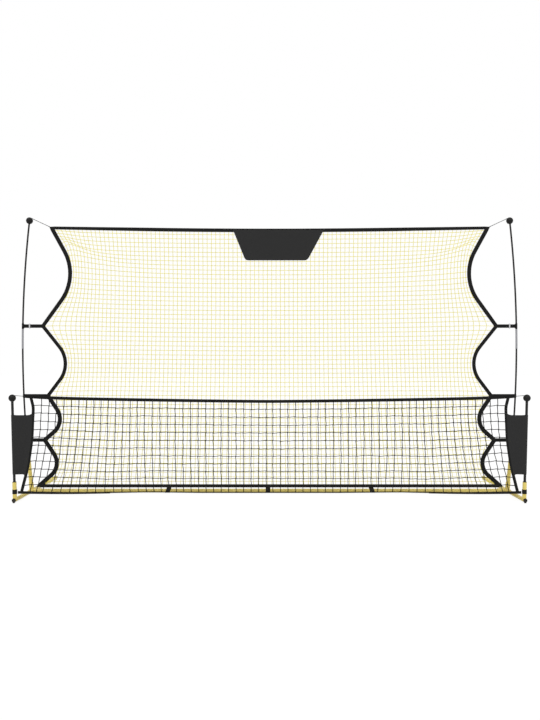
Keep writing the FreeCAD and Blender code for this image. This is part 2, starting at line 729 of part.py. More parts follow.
def make_sliders():
    """Slider that sets the length of the upper strap: a flat ring round the strap."""
    centre = Vector(size("slider_place"), crossbar_y, size("upper_strap_up"))
    shell_size = Vector(size("slider_width"), size("slider_thick"), size("slider_height"))
    shell = box("slider_shell", "Sizes.slider_width", "Sizes.slider_thick", "Sizes.slider_height",
                centre - shell_size / 2)
    slot_size = Vector(size("slider_width") * 2, size("strap_thick") + 2 * size("slider_fit"),
                       size("strap_width") + 2 * size("slider_fit"))
    slot = box("slider_slot", "Sizes.slider_width * 2", "Sizes.strap_thick + 2 * Sizes.slider_fit",
               "Sizes.strap_width + 2 * Sizes.slider_fit", centre - slot_size / 2)
    keep_pair("strap_slider", cut("right_strap_slider", shell, slot))


def loop_radius():
    """Outside of a strap's loop round a yellow tube."""
    return size("tube_diameter") / 2 + size("tab_fit") + size("strap_loop_wall")


def make_tabs():
    """Short tabs that hold the bottom edge of the tall net to the crossbar."""
    tabs = []
    seat = f"{TUBE_OUT} + Sizes.tab_fit"
    height = f"Sizes.bottom_edge - Sizes.webbing_width / 2 - Sizes.seam_gap - {AXIS_HEIGHT}"
    for name in ("left_tab", "middle_tab", "right_tab"):
        start = Vector(size(f"{name}_place") - size("tab_width") / 2, crossbar_y, axis_height)
        ring = cylinder(f"{name}_ring", f"{seat} + Sizes.strap_loop_wall", "Sizes.tab_width",
                        start, OUT)
        tongue = box(f"{name}_tongue", "Sizes.tab_width", "Sizes.strap_thick", height,
                     start - BACK * (size("strap_thick") / 2))
        bar = cylinder(f"{name}_bar", seat, "Sizes.tab_width", start, OUT)
        tabs.append(cut(name, fuse(f"{name}_body", [ring, tongue]), bar))
    group = doc.addObject("Part::Compound", "crossbar_tabs")
    group.Links = tabs
    keep("crossbar_tabs", group)


def hem_place():
    """The hem along the crossbar, in front of the tabs."""
    return crossbar_y - loop_radius() - size("hem_clear") - size("webbing_thick")


def upright_band(points, height):
    """Band of webbing on edge that follows (x, y, z) points, thick along Y."""
    rise = UP * (height / 2)
    pieces = []
    for here, there in zip(points, points[1:]):
        outline = [here - rise, there - rise, there + rise, here + rise, here - rise]
        face = Part.Face(Part.makePolygon(outline))
        pieces.append(face.extrude(BACK * size("webbing_thick")))
    return pieces[0].multiFuse(pieces[1:]).removeSplitter()


def both_sides(points):
    return [Vector(-p.x, p.y, p.z) for p in reversed(points)] + points


def make_front_borders():
    top = both_sides([
        Vector(size("front_bend_out"), size("front_middle_place"), size("front_bend_up")),
        Vector(size("front_edge_out"), front_y, top_border_height(size("front_edge_out"))),
        Vector(size("front_top_out"), front_y, size("front_top_up")),
    ])
    band = upright_band(top, size("front_webbing_width"))
    keep("front_net_top_webbing", solid("front_net_top_webbing", band))
    socket = front_foot + front_way * ((size("hem_corner_up") - axis_height) / front_way.z)
    hem_end = socket.x - loop_radius() - size("seam_gap")
    hem = both_sides([
        Vector(size("front_foot_out"), hem_place(), size("hem_low")),
        Vector(hem_end, front_y, size("hem_corner_up")),
    ])
    keep("front_net_hem", solid("front_net_hem", upright_band(hem, size("hem_height"))))
    half = size("front_webbing_width") / 2
    outer = shifted(front_side_path(), half, False)
    inner = shifted(front_side_path(), -half, False)
    foot_end = Part.LineSegment(flat_spot(outer[-1]), flat_spot(inner[-1])).toShape()
    top_end = Part.LineSegment(flat_spot(inner[0]), flat_spot(outer[0])).toShape()
    outline = path_edges(outer) + [foot_end] + path_edges(list(reversed(inner))) + [top_end]
    face = Part.Face(Part.Wire(outline))
    band = slab("right_front_net_webbing", face, "Sizes.webbing_thick", front_y)
    keep("front_net_right_webbing", band)
    keep("front_net_left_webbing", mirrored("front_net_left_webbing", band))


def top_border_height(out):
    """Height of the front net's top border at that distance from the middle."""
    fall = size("front_top_up") - size("front_bend_up")
    share = (out - size("front_bend_out")) / (size("front_top_out") - size("front_bend_out"))
    return size("front_bend_up") + share * fall


def under_top_border(out):
    return top_border_height(out) - size("front_webbing_width") / 2 - size("seam_gap")


def flat_spot(point):
    return Vector(point[0], 0, point[1])


def front_side_path():
    """Centre line of the front net's side border, from the top border down to the hem."""
    width = size("front_webbing_width")
    hang = under_top_border(size("front_edge_out") - width)
    lean = (size("front_edge_out") - FRONT_SIDE[0][0]) / (hang - FRONT_SIDE[0][1])
    over_hem = size("hem_corner_up") + size("hem_height") / 2 + size("webbing_thick")
    top = (size("front_edge_out"), hang - lean * width / 2, 0.0)
    return [top] + FRONT_SIDE + [(FRONT_SIDE_FOOT, over_hem, 0.0)]


def make_front_net():
    """Front net as flat holed panels: one in the middle and two on each side."""
    half = size("front_webbing_width") / 2 + size("seam_gap")
    over_hem = size("hem_height") / 2 + size("seam_gap")
    bend_out = size("front_bend_out")
    bend = Vector(bend_out, size("front_middle_place"), under_top_border(bend_out))
    foot = Vector(size("front_foot_out"), hem_place(), size("hem_low") + over_hem)
    edge = [flat_spot(p) for p in shifted(front_side_path(), -half, False)]
    climb = edge[0] - edge[1]
    edge[0] += climb * ((under_top_border(edge[0].x) - edge[0].z) / climb.z)
    for spot in edge:
        spot.y = front_y
    heel = edge[-1]
    columns = int(size("front_columns"))
    rows = int(size("front_rows"))
    strand = size("front_strand")
    wide = 2 * size("front_edge_out") / columns
    high = size("front_top_up") / rows
    lattice = []
    left_end = -size("front_top_out")
    for column in range(-1, columns + 3):
        spot = Vector(left_end + column * wide, 0, -high)
        lattice.append(Part.makePlane(strand, 2 * size("front_top_up"), spot, -BACK, OUT))
    for row in range(1, rows + 1):
        spot = Vector(left_end, 0, row * high)
        lattice.append(Part.makePlane(2 * size("front_top_out"), strand, spot, -BACK, OUT))
    middle = [Vector(-foot.x, foot.y, foot.z), foot, bend, Vector(-bend.x, bend.y, bend.z)]
    upper_side = [bend] + list(reversed(edge))
    lower_side = [bend, foot, heel]
    panels = [net_panel(middle, middle[:3], lattice)]
    for outline, plane in ((upper_side, [bend, heel, edge[0]]), (lower_side, lower_side)):
        right = net_panel(outline, plane, lattice)
        panels += [right, right.mirror(Vector(), OUT)]
    net = panels[0].multiFuse(panels[1:])
    keep("front_net", solid("front_net", net))


def net_panel(outline, plane, lattice):
    """Holed panel whose outline is given in front view, on the plane through three points."""
    strand = size("front_strand")
    flat = [Vector(p.x, 0, p.z) for p in outline]
    face = Part.Face(Part.makePolygon(flat + flat[:1]))
    inset = face.makeOffset2D(-strand / 2, join=2)
    gaps = inset.cut(lattice)
    holed = face.cut(gaps.Faces)
    depth = size("rail_length")
    prism = holed.translated(BACK * -depth).extrude(BACK * (2 * depth))
    normal = (plane[1] - plane[0]).cross(plane[2] - plane[0]).normalize()
    sheet_corners = []
    margin = size("front_top_out")
    for across, up in ((-1, -1), (1, -1), (1, 1), (-1, 1)):
        x = across * margin
        z = up * margin
        drop = (plane[0] - Vector(x, 0, z)).dot(normal) / normal.y
        sheet_corners.append(Vector(x, drop, z))
    cloth = Part.Face(Part.makePolygon(sheet_corners + sheet_corners[:1]))
    return prism.common(cloth.extrude(BACK * size("net_thick")))


def make_side_panels():
    """Cloth panel between the front pole, which it wraps, and the front net's side border."""
    low = size("panel_bottom")
    high = size("panel_top")
    edge = shifted(front_side_path(), size("front_webbing_width") / 2 + size("seam_gap"), False)
    inside = size("front_bend_out")
    beyond = flat_face([(inside, edge[0][1], 0.0)] + edge + [(inside, edge[-1][1], 0.0)])
    pole_low = front_foot.x + math.tan(front_lean) * (low - axis_height)
    pole_high = front_foot.x + math.tan(front_lean) * (high - axis_height)
    outline = flat_face([
        (inside, low, 0.0), (pole_low, low, 0.0), (pole_high, high, 0.0), (inside, high, 0.0),
    ])
    cloth = slab("side_panel_cloth", outline.cut(beyond), "Sizes.panel_thick", front_y)
    start = Vector(pole_low, front_y, low)
    length = "(Sizes.panel_top - Sizes.panel_bottom) / cos(Sizes.front_lean)"
    bore = "Sizes.front_pole_diameter / 2 + Sizes.strap_loop_fit"
    sleeve = cylinder("panel_sleeve", f"{bore} + Sizes.panel_thick", length, start, front_way)
    pole = cylinder("panel_bore", bore, "Sizes.panel_top * 2", start - front_way * high / 2,
                    front_way)
    keep_pair("side_panel", cut("right_side_panel", fuse("side_panel_body", [cloth, sleeve]), pole))


def make_socket_straps():
    """Strap round the front socket that the hem is sewn to."""
    low = size("socket_strap_low")
    start = front_foot + front_way * ((low - axis_height) / front_way.z)
    height = "Sizes.socket_strap_high - Sizes.socket_strap_low"
    seat = f"{TUBE_OUT} + Sizes.tab_fit"
    ring = cylinder("socket_strap_ring", f"{seat} + Sizes.strap_loop_wall", height, start, front_way)
    hole = cylinder("socket_strap_hole", seat, height, start, front_way)
    keep_pair("socket_strap", cut("right_socket_strap", ring, hole))


def make_cord(name, centre, end):
    """Elastic cord from the upper inner side of a ball to a corner of the net."""
    angle = math.radians(size("cord_angle"))
    radius = size("ball_diameter") / 2
    start = centre + Vector(-math.sin(angle), 0, math.cos(angle)) * (radius - size("cord_diameter") / 2)
    reach = end - start
    rod = Part.makeCylinder(size("cord_diameter") / 2, reach.Length, start, reach)
    room = ball(f"{name}_room", "Sizes.ball_diameter / 2 + Sizes.tube_fit", centre)
    keep_pair(name, cut(f"right_{name}", solid(f"{name}_rod", rod), room))


def make_cords(outer):
    top = outer[2]
    tip = Vector(top[0], crossbar_y, top[1])
    gap = size("seam_gap") + size("cord_diameter") / 2
    tall_ball = bow.point(size("tall_ball_height"))
    make_cord("top_corner_cord", tall_ball, tip + (tall_ball - tip).normalize() * gap)
    front_end = Vector(
        size("front_top_out") + size("seam_gap"),
        front_y + size("webbing_thick") / 2,
        size("front_top_up") + size("cord_diameter") / 2,
    )
    make_cord("front_corner_cord", front_ball_centre(), front_end)


make_rails()
make_end_caps()
make_corner_fittings()
make_crossbar()
make_snap_buttons()
make_sockets()
make_front_poles()
make_tall_poles()
border_outside = make_tall_net()
make_patch()
make_straps()
make_sliders()
make_tabs()
make_front_borders()
make_front_net()
make_side_panels()
make_socket_straps()
make_cords(border_outside)
doc.recompute()

for item in doc.Objects:
    if {"Invalid", "Error"} & set(item.State):
        raise RuntimeError(f"{item.Name} failed: {item.State}")
os.makedirs("parts", exist_ok=True)
for name, item in nodes.items():
    shape = item.Shape
    if shape.isNull() or not shape.isValid():
        raise RuntimeError(f"{name} has no valid shape")
for name, item in nodes.items():
    item.Shape.exportStep(f"parts/{name}.step")
    print(f"{name}: {len(item.Shape.Solids)} solid, {item.Shape.Volume / 1000:.1f} cm3")
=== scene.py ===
# %% [markdown]
# # Pitch back rebounder
# A yellow tube base stands on the ground. Two short poles at the front hold a low, coarse black net,
# and two tall bowed poles hold a high, fine yellow net with scalloped sides. The tubes, poles, balls
# and fittings come ready-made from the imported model, and get a finish here. Every net, webbing,
# strap, cloth and cord is soft, so it is modelled anew in its place.

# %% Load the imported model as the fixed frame
import math

import bpy
import numpy as np
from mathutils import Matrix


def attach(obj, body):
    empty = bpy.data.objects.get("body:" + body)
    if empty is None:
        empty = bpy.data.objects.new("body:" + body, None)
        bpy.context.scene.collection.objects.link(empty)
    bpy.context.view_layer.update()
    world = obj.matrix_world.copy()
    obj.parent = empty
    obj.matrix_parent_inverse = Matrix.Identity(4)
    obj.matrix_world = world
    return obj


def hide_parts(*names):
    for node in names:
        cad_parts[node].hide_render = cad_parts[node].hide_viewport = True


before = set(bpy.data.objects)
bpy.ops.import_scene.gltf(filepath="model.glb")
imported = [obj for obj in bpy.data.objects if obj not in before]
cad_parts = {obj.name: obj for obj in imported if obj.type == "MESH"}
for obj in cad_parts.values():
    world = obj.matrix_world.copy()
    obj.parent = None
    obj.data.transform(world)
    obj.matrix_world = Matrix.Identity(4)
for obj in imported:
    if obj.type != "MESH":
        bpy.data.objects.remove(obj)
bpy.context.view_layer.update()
MM = 0.001

# %% [markdown]
# ## Camera
# The photograph is a level, square-on view. The two net planes and the rails give its distance and its
# eye height. The tall side of the frame sets the lens, so the sensor is fitted to the height.

# %% Camera
EYE = (0.003, -5.644, 0.981)
LENS = 37.5
SENSOR = 36.0

bpy.ops.object.camera_add(location=EYE, rotation=(math.radians(90), 0, 0))
camera = bpy.context.object
camera.data.sensor_fit = "VERTICAL"
camera.data.sensor_height = SENSOR
camera.data.lens = LENS
camera.data.clip_end = 200.0
bpy.context.scene.camera = camera

# %% [markdown]
# ## Small helpers
# An operator works on what is selected, so everything is deselected before each new primitive. A
# material's nodes are added by short helpers, because a finish is mostly a list of nodes and links.

# %% Helpers for objects and nodes
def only(piece):
    bpy.ops.object.select_all(action="DESELECT")
    piece.select_set(True)
    bpy.context.view_layer.objects.active = piece


def colour(red, green, blue):
    """A colour as a paint shop writes it, 0 to 255, in the scene's linear light."""
    shares = [c / 255 for c in (red, green, blue)]
    return [c / 12.92 if c <= 0.04045 else ((c + 0.055) / 1.055) ** 2.4 for c in shares] + [1.0]


def add(tree, kind, **settings):
    """A shader node. A setting is a property of the node or, failing that, one of its sockets."""
    node = tree.nodes.new(f"ShaderNode{kind}")
    for key, value in settings.items():
        if hasattr(node, key):
            setattr(node, key, value)
        else:
            node.inputs[key.replace("_", " ")].default_value = value
    return node


def sum_of(tree, operation, first, second):
    """The result of a Math node. Each side is a number or a socket."""
    node = add(tree, "Math", operation=operation)
    for socket, side in zip(node.inputs, (first, second)):
        if isinstance(side, (int, float)):
            socket.default_value = side
        else:
            tree.links.new(side, socket)
    return node.outputs[0]


def ramp(tree, source, low, high, out_low=0.0, out_high=1.0):
    """The source's range from low to high spread over out_low to out_high, and held there."""
    node = add(tree, "MapRange", clamp=True, From_Min=low, From_Max=high, To_Min=out_low,
               To_Max=out_high)
    tree.links.new(source, node.inputs["Value"])
    return node.outputs[0]


def mixed(tree, share, first, second):
    """Two colours mixed. Each is a colour or a socket, and share is a socket."""
    node = add(tree, "Mix", data_type="RGBA")
    tree.links.new(share, node.inputs[0])
    for socket, side in zip(node.inputs[6:8], (first, second)):
        if isinstance(side, list):
            socket.default_value = side
        else:
            tree.links.new(side, socket)
    return node.outputs[2]


def new_group(name, inputs, outputs):
    """An empty node group, its input sockets to read and its output sockets to fill."""
    tree = bpy.data.node_groups.new(name, "ShaderNodeTree")
    for label, kind, value in inputs:
        socket = tree.interface.new_socket(name=label, in_out="INPUT",
                                           socket_type=f"NodeSocket{kind}")
        if value is not None:
            socket.default_value = value
    for label in outputs:
        tree.interface.new_socket(name=label, in_out="OUTPUT", socket_type="NodeSocketFloat")
    read = tree.nodes.new("NodeGroupInput").outputs
    return tree, read, tree.nodes.new("NodeGroupOutput").inputs


def plain(tree, operation, value):
    """The result of a Math node that reads one socket."""
    return sum_of(tree, operation, value, 0.0)


def use_group(tree, group, vector, **settings):
    """A group placed in a material, reading its places from vector."""
    node = tree.nodes.new("ShaderNodeGroup")
    node.node_tree = bpy.data.node_groups[group]
    tree.links.new(vector, node.inputs["Vector"])
    for key, value in settings.items():
        node.inputs[key.replace("_", " ")].default_value = value
    return node.outputs


# %% [markdown]
# ## Stage
# The floor and the far distance are both white, and neither may be whiter than white: a thread
# thinner than a pixel would be lost before a floor that is too bright. So the camera sees a floor
# that glows for the most part and takes the rest from the lamps, which keeps a trace of shadow under
# the tubes. All other rays meet a plain white floor. The world lights the object at a plain level
# and shows white to the camera and to gloss.

# %% Floor and world
FLOOR_SIZE = 80.0
FLOOR_WHITE = 0.807
FLOOR_SHARE = 0.12
FLOOR_GLOW = 0.92
AMBIENT = 0.62


def seen_rays(tree):
    """1 for a ray from the camera or from gloss, and 0 for any other."""
    rays = add(tree, "LightPath")
    return sum_of(tree, "MAXIMUM", rays.outputs["Is Camera Ray"], rays.outputs["Is Glossy Ray"])


bpy.ops.object.select_all(action="DESELECT")
bpy.ops.mesh.primitive_plane_add(size=FLOOR_SIZE, location=(0, 0, 0))
floor = bpy.context.object
floor.name = "floor"
floor_finish = bpy.data.materials.new("white_floor")
floor_finish.use_nodes = True
tree = floor_finish.node_tree
tree.nodes.clear()
seen = seen_rays(tree)
matt = add(tree, "BsdfDiffuse")
tree.links.new(ramp(tree, seen, 0.0, 1.0, FLOOR_WHITE, FLOOR_SHARE), matt.inputs["Color"])
glow = add(tree, "Emission", Color=(1, 1, 1, 1))
tree.links.new(sum_of(tree, "MULTIPLY", seen, FLOOR_GLOW), glow.inputs["Strength"])
added = add(tree, "AddShader")
tree.links.new(matt.outputs[0], added.inputs[0])
tree.links.new(glow.outputs[0], added.inputs[1])
tree.links.new(added.outputs[0], add(tree, "OutputMaterial").inputs["Surface"])
floor.data.materials.append(floor_finish)

world = bpy.data.worlds.new("studio")
world.use_nodes = True
bpy.context.scene.world = world
tree = world.node_tree
tree.nodes.clear()
backdrop = add(tree, "Background", Color=(1, 1, 1, 1))
tree.links.new(ramp(tree, seen_rays(tree), 0.0, 1.0, AMBIENT, 1.0), backdrop.inputs["Strength"])
tree.links.new(backdrop.outputs[0], add(tree, "OutputWorld").inputs["Surface"])
bpy.context.scene.view_settings.view_transform = "Standard"

# %% [markdown]
# ## Lamps
# The tubes in the photograph are lightest along the top and darkest underneath, so the main lamp
# stands high and in front, a little to the left. The second fills in from the right. Both are wide,
# which keeps every shadow soft. Each row is a name, its turn and its width in degrees, and its
# strength.

# %% Lamps
LAMPS = [
    ("main_lamp", (38.0, 0.0, -16.0), 24.0, 1.15),
    ("side_lamp", (58.0, 0.0, 62.0), 50.0, 0.35),
]

for name, turn, spread, strength in LAMPS:
    bpy.ops.object.light_add(type="SUN", rotation=[math.radians(a) for a in turn])
    lamp = bpy.context.object
    lamp.name = name
    lamp.data.energy = strength
    lamp.data.angle = math.radians(spread)

# %% [markdown]
# ## Shared surface effects
# Five effects come back in several finishes: fine grain, scuffs, ground dust, weave and rows of
# stitches. Each is a node group, built once, with the values that a finish may change as its inputs.
# The first three read places on the object, and the last two read a piece's own UV map in metres.

# %% Grain and scuffs
tree, read, fill = new_group(
    "grain", [("Vector", "Vector", None), ("Scale", "Float", 900.0)], ["Height", "Patches"],
)
fine = add(tree, "TexNoise", Detail=3.0, Roughness=0.6)
tree.links.new(read["Vector"], fine.inputs["Vector"])
tree.links.new(read["Scale"], fine.inputs["Scale"])
broad = add(tree, "TexNoise", Scale=9.0, Detail=4.0)
tree.links.new(read["Vector"], broad.inputs["Vector"])
tree.links.new(fine.outputs[0], fill["Height"])
tree.links.new(broad.outputs[0], fill["Patches"])

tree, read, fill = new_group(
    "scuffs", [("Vector", "Vector", None), ("Amount", "Float", 0.5)], ["Mask"],
)
marks = add(tree, "TexNoise", Scale=210.0, Detail=6.0, Roughness=0.7, Distortion=0.8)
spots = add(tree, "TexNoise", Scale=14.0, Detail=3.0)
tree.links.new(read["Vector"], marks.inputs["Vector"])
tree.links.new(read["Vector"], spots.inputs["Vector"])
where = ramp(tree, spots.outputs[0], 0.5, 0.72)
small = ramp(tree, marks.outputs[0], 0.56, 0.7)
mask = sum_of(tree, "MULTIPLY", sum_of(tree, "MULTIPLY", where, small), read["Amount"])
tree.links.new(mask, fill["Mask"])

# %% Ground dust
tree, read, fill = new_group(
    "ground_dust",
    [("Vector", "Vector", None), ("Reach", "Float", 0.09), ("Amount", "Float", 0.35)],
    ["Mask"],
)
split = add(tree, "SeparateXYZ")
tree.links.new(read["Vector"], split.inputs[0])
height = sum_of(tree, "DIVIDE", split.outputs["Z"], read["Reach"])
low_part = ramp(tree, height, 0.0, 1.0, 1.0, 0.0)
cloud = add(tree, "TexNoise", Scale=35.0, Detail=5.0)
tree.links.new(read["Vector"], cloud.inputs["Vector"])
uneven = ramp(tree, cloud.outputs[0], 0.35, 0.65, 0.2, 1.0)
mask = sum_of(tree, "MULTIPLY", sum_of(tree, "MULTIPLY", low_part, uneven), read["Amount"])
tree.links.new(mask, fill["Mask"])

# %% Weave and stitches
def wave(tree, place, length):
    """A sine wave from -1 to 1 with that length."""
    turns = sum_of(tree, "DIVIDE", place, length)
    return plain(tree, "SINE", sum_of(tree, "MULTIPLY", turns, math.tau))


tree, read, fill = new_group(
    "weave",
    [("Vector", "Vector", None), ("Along", "Float", 0.0024), ("Across", "Float", 0.0016)],
    ["Height", "Patches"],
)
split = add(tree, "SeparateXYZ")
tree.links.new(read["Vector"], split.inputs[0])
along = wave(tree, split.outputs["X"], read["Along"])
across = wave(tree, split.outputs["Y"], read["Across"])
yarn = sum_of(tree, "MULTIPLY", along, across)
tree.links.new(ramp(tree, yarn, -1.0, 1.0), fill["Height"])
fade = add(tree, "TexNoise", Scale=22.0, Detail=3.0)
tree.links.new(read["Vector"], fade.inputs["Vector"])
tree.links.new(fade.outputs[0], fill["Patches"])

tree, read, fill = new_group(
    "stitches",
    [("Vector", "Vector", None), ("Width", "Float", 0.024), ("Inset", "Float", 0.003),
     ("Pitch", "Float", 0.0042)],
    ["Mask"],
)
STITCH_HALF = 0.45 * MM
split = add(tree, "SeparateXYZ")
tree.links.new(read["Vector"], split.inputs[0])
from_edge = plain(tree, "ABSOLUTE", sum_of(tree, "SUBTRACT", split.outputs["Y"], read["Inset"]))
far_row = sum_of(tree, "SUBTRACT", read["Width"], read["Inset"])
from_far = plain(tree, "ABSOLUTE", sum_of(tree, "SUBTRACT", split.outputs["Y"], far_row))
nearest = sum_of(tree, "MINIMUM", from_edge, from_far)
on_row = ramp(tree, nearest, STITCH_HALF * 0.6, STITCH_HALF * 1.4, 1.0, 0.0)
beat = plain(tree, "FRACT", sum_of(tree, "DIVIDE", split.outputs["X"], read["Pitch"]))
off_beat = plain(tree, "ABSOLUTE", sum_of(tree, "SUBTRACT", beat, 0.5))
on_dash = ramp(tree, off_beat, 0.3, 0.38, 1.0, 0.0)
tree.links.new(sum_of(tree, "MULTIPLY", on_row, on_dash), fill["Mask"])

# %% [markdown]
# ## Finishes of the hard parts
# Powder coat, rods, mouldings and metal. Their patterns read object coordinates, because the packed
# parts have no UV map.

# %% Hard finishes
def finish(name, **settings):
    """A material with its Principled shader, and the object coordinates that its patterns read."""
    material = bpy.data.materials.new(name)
    material.use_nodes = True
    tree = material.node_tree
    shader = tree.nodes["Principled BSDF"]
    for key, value in settings.items():
        shader.inputs[key.replace("_", " ")].default_value = value
    return material, tree, shader, add(tree, "TexCoord").outputs["Object"]


def relief(tree, shader, height, depth):
    """Bump from a height, whose full range is depth metres."""
    bump = add(tree, "Bump", Strength=1.0, Distance=depth)
    tree.links.new(height, bump.inputs["Height"])
    tree.links.new(bump.outputs[0], shader.inputs["Normal"])


def patchy(tree, effect):
    """A mask with soft edges from the broad patches of an effect."""
    return ramp(tree, effect["Patches"], 0.35, 0.65)


def coated(name, tone, patch_tone, bare_tone, rough, scuffed, dusted, depth, **settings):
    """Paint or moulded plastic: uneven tone, scuffs down to bare_tone, dust near the ground."""
    material, tree, shader, place = finish(name, **settings)
    grain = use_group(tree, "grain", place)
    scuffs = use_group(tree, "scuffs", place, Amount=scuffed)
    dust = use_group(tree, "ground_dust", place, Amount=dusted)
    tint = mixed(tree, patchy(tree, grain), tone, patch_tone)
    tint = mixed(tree, scuffs["Mask"], tint, bare_tone)
    tree.links.new(mixed(tree, dust["Mask"], tint, DUST), shader.inputs["Base Color"])
    uneven = ramp(tree, grain["Patches"], 0.3, 0.7, rough, rough + 0.08)
    worn = sum_of(tree, "MULTIPLY", sum_of(tree, "ADD", scuffs["Mask"], dust["Mask"]), 0.3)
    tree.links.new(sum_of(tree, "ADD", uneven, worn), shader.inputs["Roughness"])
    relief(tree, shader, grain["Height"], depth)
    return material


DUST = colour(158, 146, 120)
yellow_coat = coated(
    "yellow_powder_coat", colour(232, 211, 116), colour(226, 204, 106), colour(165, 152, 100),
    rough=0.36, scuffed=0.3, dusted=0.12, depth=0.05 * MM,
)
black_rod = coated(
    "black_rod", colour(14, 14, 13), colour(19, 19, 18), colour(70, 70, 67),
    rough=0.42, scuffed=0.25, dusted=0.1, depth=0.03 * MM, Specular_IOR_Level=0.3,
)
black_moulding = coated(
    "black_moulding", colour(12, 12, 11), colour(16, 16, 15), colour(60, 60, 58),
    rough=0.5, scuffed=0.2, dusted=0.1, depth=0.06 * MM, Specular_IOR_Level=0.25,
)


LINES = (40.0, 40.0, 1400.0)


def brushed(name, tone, patch_tone, rough, metal):
    """Drawn or rolled metal with fine level lines."""
    material, tree, shader, place = finish(name, Metallic=metal)
    stretch = add(tree, "Mapping", Scale=LINES)
    tree.links.new(place, stretch.inputs["Vector"])
    lines = add(tree, "TexNoise", Scale=1.0, Detail=3.0)
    tree.links.new(stretch.outputs[0], lines.inputs["Vector"])
    grain = use_group(tree, "grain", place, Scale=500.0)
    tree.links.new(mixed(tree, patchy(tree, grain), tone, patch_tone), shader.inputs["Base Color"])
    uneven = ramp(tree, lines.outputs[0], 0.3, 0.7, rough - 0.05, rough + 0.1)
    tree.links.new(uneven, shader.inputs["Roughness"])
    relief(tree, shader, lines.outputs[0], 0.02 * MM)
    return material


ferrule_metal = brushed("ferrule_metal", colour(158, 158, 162), colour(146, 146, 150), 0.38, 0.85)
slider_metal = brushed("slider_metal", colour(206, 206, 208), colour(196, 196, 198), 0.34, 0.8)
zinc_steel = brushed("zinc_steel", colour(184, 186, 190), colour(170, 172, 176), 0.32, 1.0)
spring_steel = brushed("spring_steel", colour(120, 122, 128), colour(104, 106, 112), 0.3, 1.0)


def dress(material, *names):
    """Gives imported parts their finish."""
    for name in names:
        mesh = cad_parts[name].data
        mesh.materials.clear()
        mesh.materials.append(material)


SIGNS = (("right", 1), ("left", -1))


def both(*names):
    """The names of a part on the right and on the left."""
    return [f"{side}_{name}" for side, _ in SIGNS for name in names]


dress(yellow_coat, "crossbar_centre", "crossbar_right", "crossbar_left",
      *both("side_rail", "corner_fitting", "rear_socket", "front_socket"))
dress(black_rod, *both("front_pole", "tall_pole_lower", "tall_pole_upper"))
dress(black_moulding, "rail_end_caps", "front_pole_bushes", "rear_pole_bushes",
      *both("front_pole_ball", "tall_pole_ball"))
dress(ferrule_metal, *both("tall_pole_ferrule"))
dress(slider_metal, *both("strap_slider"))
dress(zinc_steel, *both("joint_button", "corner_button"))
dress(spring_steel, "button_springs")

# %% [markdown]
# ## Finishes of the soft parts
# Webbing is coarse and ribbed, with a row of stitches along each edge. The cloth is a finer weave.
# The hollows of each weave are darkened, which is painted shade. The thread, twine and cord are too
# thin to show a weave, and get a fibre grain.

# %% Soft finishes
def woven(name, tone, patch_tone, weave, depth, stitch_tone=None, width=None):
    """Woven stuff that reads the piece's UV map in metres. With a width it has stitched edges."""
    material, tree, shader, place = finish(name, Sheen_Weight=0.12, Sheen_Roughness=0.45,
                                           Specular_IOR_Level=0.2)
    uv = add(tree, "UVMap", uv_map="metres").outputs[0]
    yarn = use_group(tree, "weave", uv, Along=weave[0], Across=weave[1])
    dust = use_group(tree, "ground_dust", place, Amount=0.08)
    tint = mixed(tree, patchy(tree, yarn), tone, patch_tone)
    # painted shade: where the weave is low, between the yarns, the tone is darkened to 0.7 of itself
    painted_hollow_shade = [c * 0.7 for c in tone[:3]] + [1.0]
    tint = mixed(tree, ramp(tree, yarn["Height"], 0.15, 0.6), painted_hollow_shade, tint)
    height = yarn["Height"]
    if width:
        rows = use_group(tree, "stitches", uv, Width=width)
        tint = mixed(tree, rows["Mask"], tint, stitch_tone)
        height = sum_of(tree, "MAXIMUM", height, sum_of(tree, "MULTIPLY", rows["Mask"], 1.6))
    tree.links.new(mixed(tree, dust["Mask"], tint, DUST), shader.inputs["Base Color"])
    tree.links.new(ramp(tree, yarn["Patches"], 0.3, 0.7, 0.68, 0.82), shader.inputs["Roughness"])
    relief(tree, shader, height, depth)
    return material


def fibrous(name, tone, patch_tone, scale, depth, **settings):
    """Thread, twine or elastic cord: a fine grain of fibres."""
    material, tree, shader, place = finish(name, **settings)
    grain = use_group(tree, "grain", place, Scale=scale)
    fibres = ramp(tree, grain["Height"], 0.35, 0.65)
    tree.links.new(mixed(tree, fibres, tone, patch_tone), shader.inputs["Base Color"])
    tree.links.new(ramp(tree, grain["Patches"], 0.3, 0.7, 0.64, 0.76), shader.inputs["Roughness"])
    relief(tree, shader, grain["Height"], depth)
    return material


SIDE_WIDTH = 28.0 * MM
TOP_WIDTH = 26.0 * MM
BOTTOM_WIDTH = 24.0 * MM
STRAP_WIDTH = 26.0 * MM
WEBBING_YARN = (2.6 * MM, 1.7 * MM)
CLOTH_YARN = (1.1 * MM, 1.1 * MM)
side_webbing, top_webbing, strap_webbing = [
    woven(f"{use}_webbing", colour(11, 11, 10), colour(15, 15, 14), WEBBING_YARN, 0.3 * MM,
          colour(36, 36, 35), width)
    for use, width in (("side", SIDE_WIDTH), ("top", TOP_WIDTH), ("strap", STRAP_WIDTH))
]
black_cloth = woven("black_cloth", colour(40, 40, 40), colour(44, 44, 44), CLOTH_YARN, 0.12 * MM)
yellow_thread = fibrous("yellow_thread", colour(250, 237, 40), colour(240, 225, 20), 1400.0, 0.1 * MM)
black_twine = fibrous("black_twine", colour(10, 10, 9), colour(18, 18, 17), 1100.0, 0.3 * MM,
                      Specular_IOR_Level=0.2)
elastic = fibrous("elastic", colour(30, 30, 29), colour(20, 20, 19), 900.0, 0.2 * MM,
                  Specular_IOR_Level=0.3)

# %% [markdown]
# ## Lines and bands
# Nearly every soft piece is a band that follows a line, so the line comes first: straight runs joined
# by round arcs, as a sewer would chalk it. A band starts as a flat grid primitive that is laid along
# the line, gets its thickness with Solidify and its soft edges with Bevel. Webbing that has been
# sewn is never quite flat, so its middle may pucker a little.

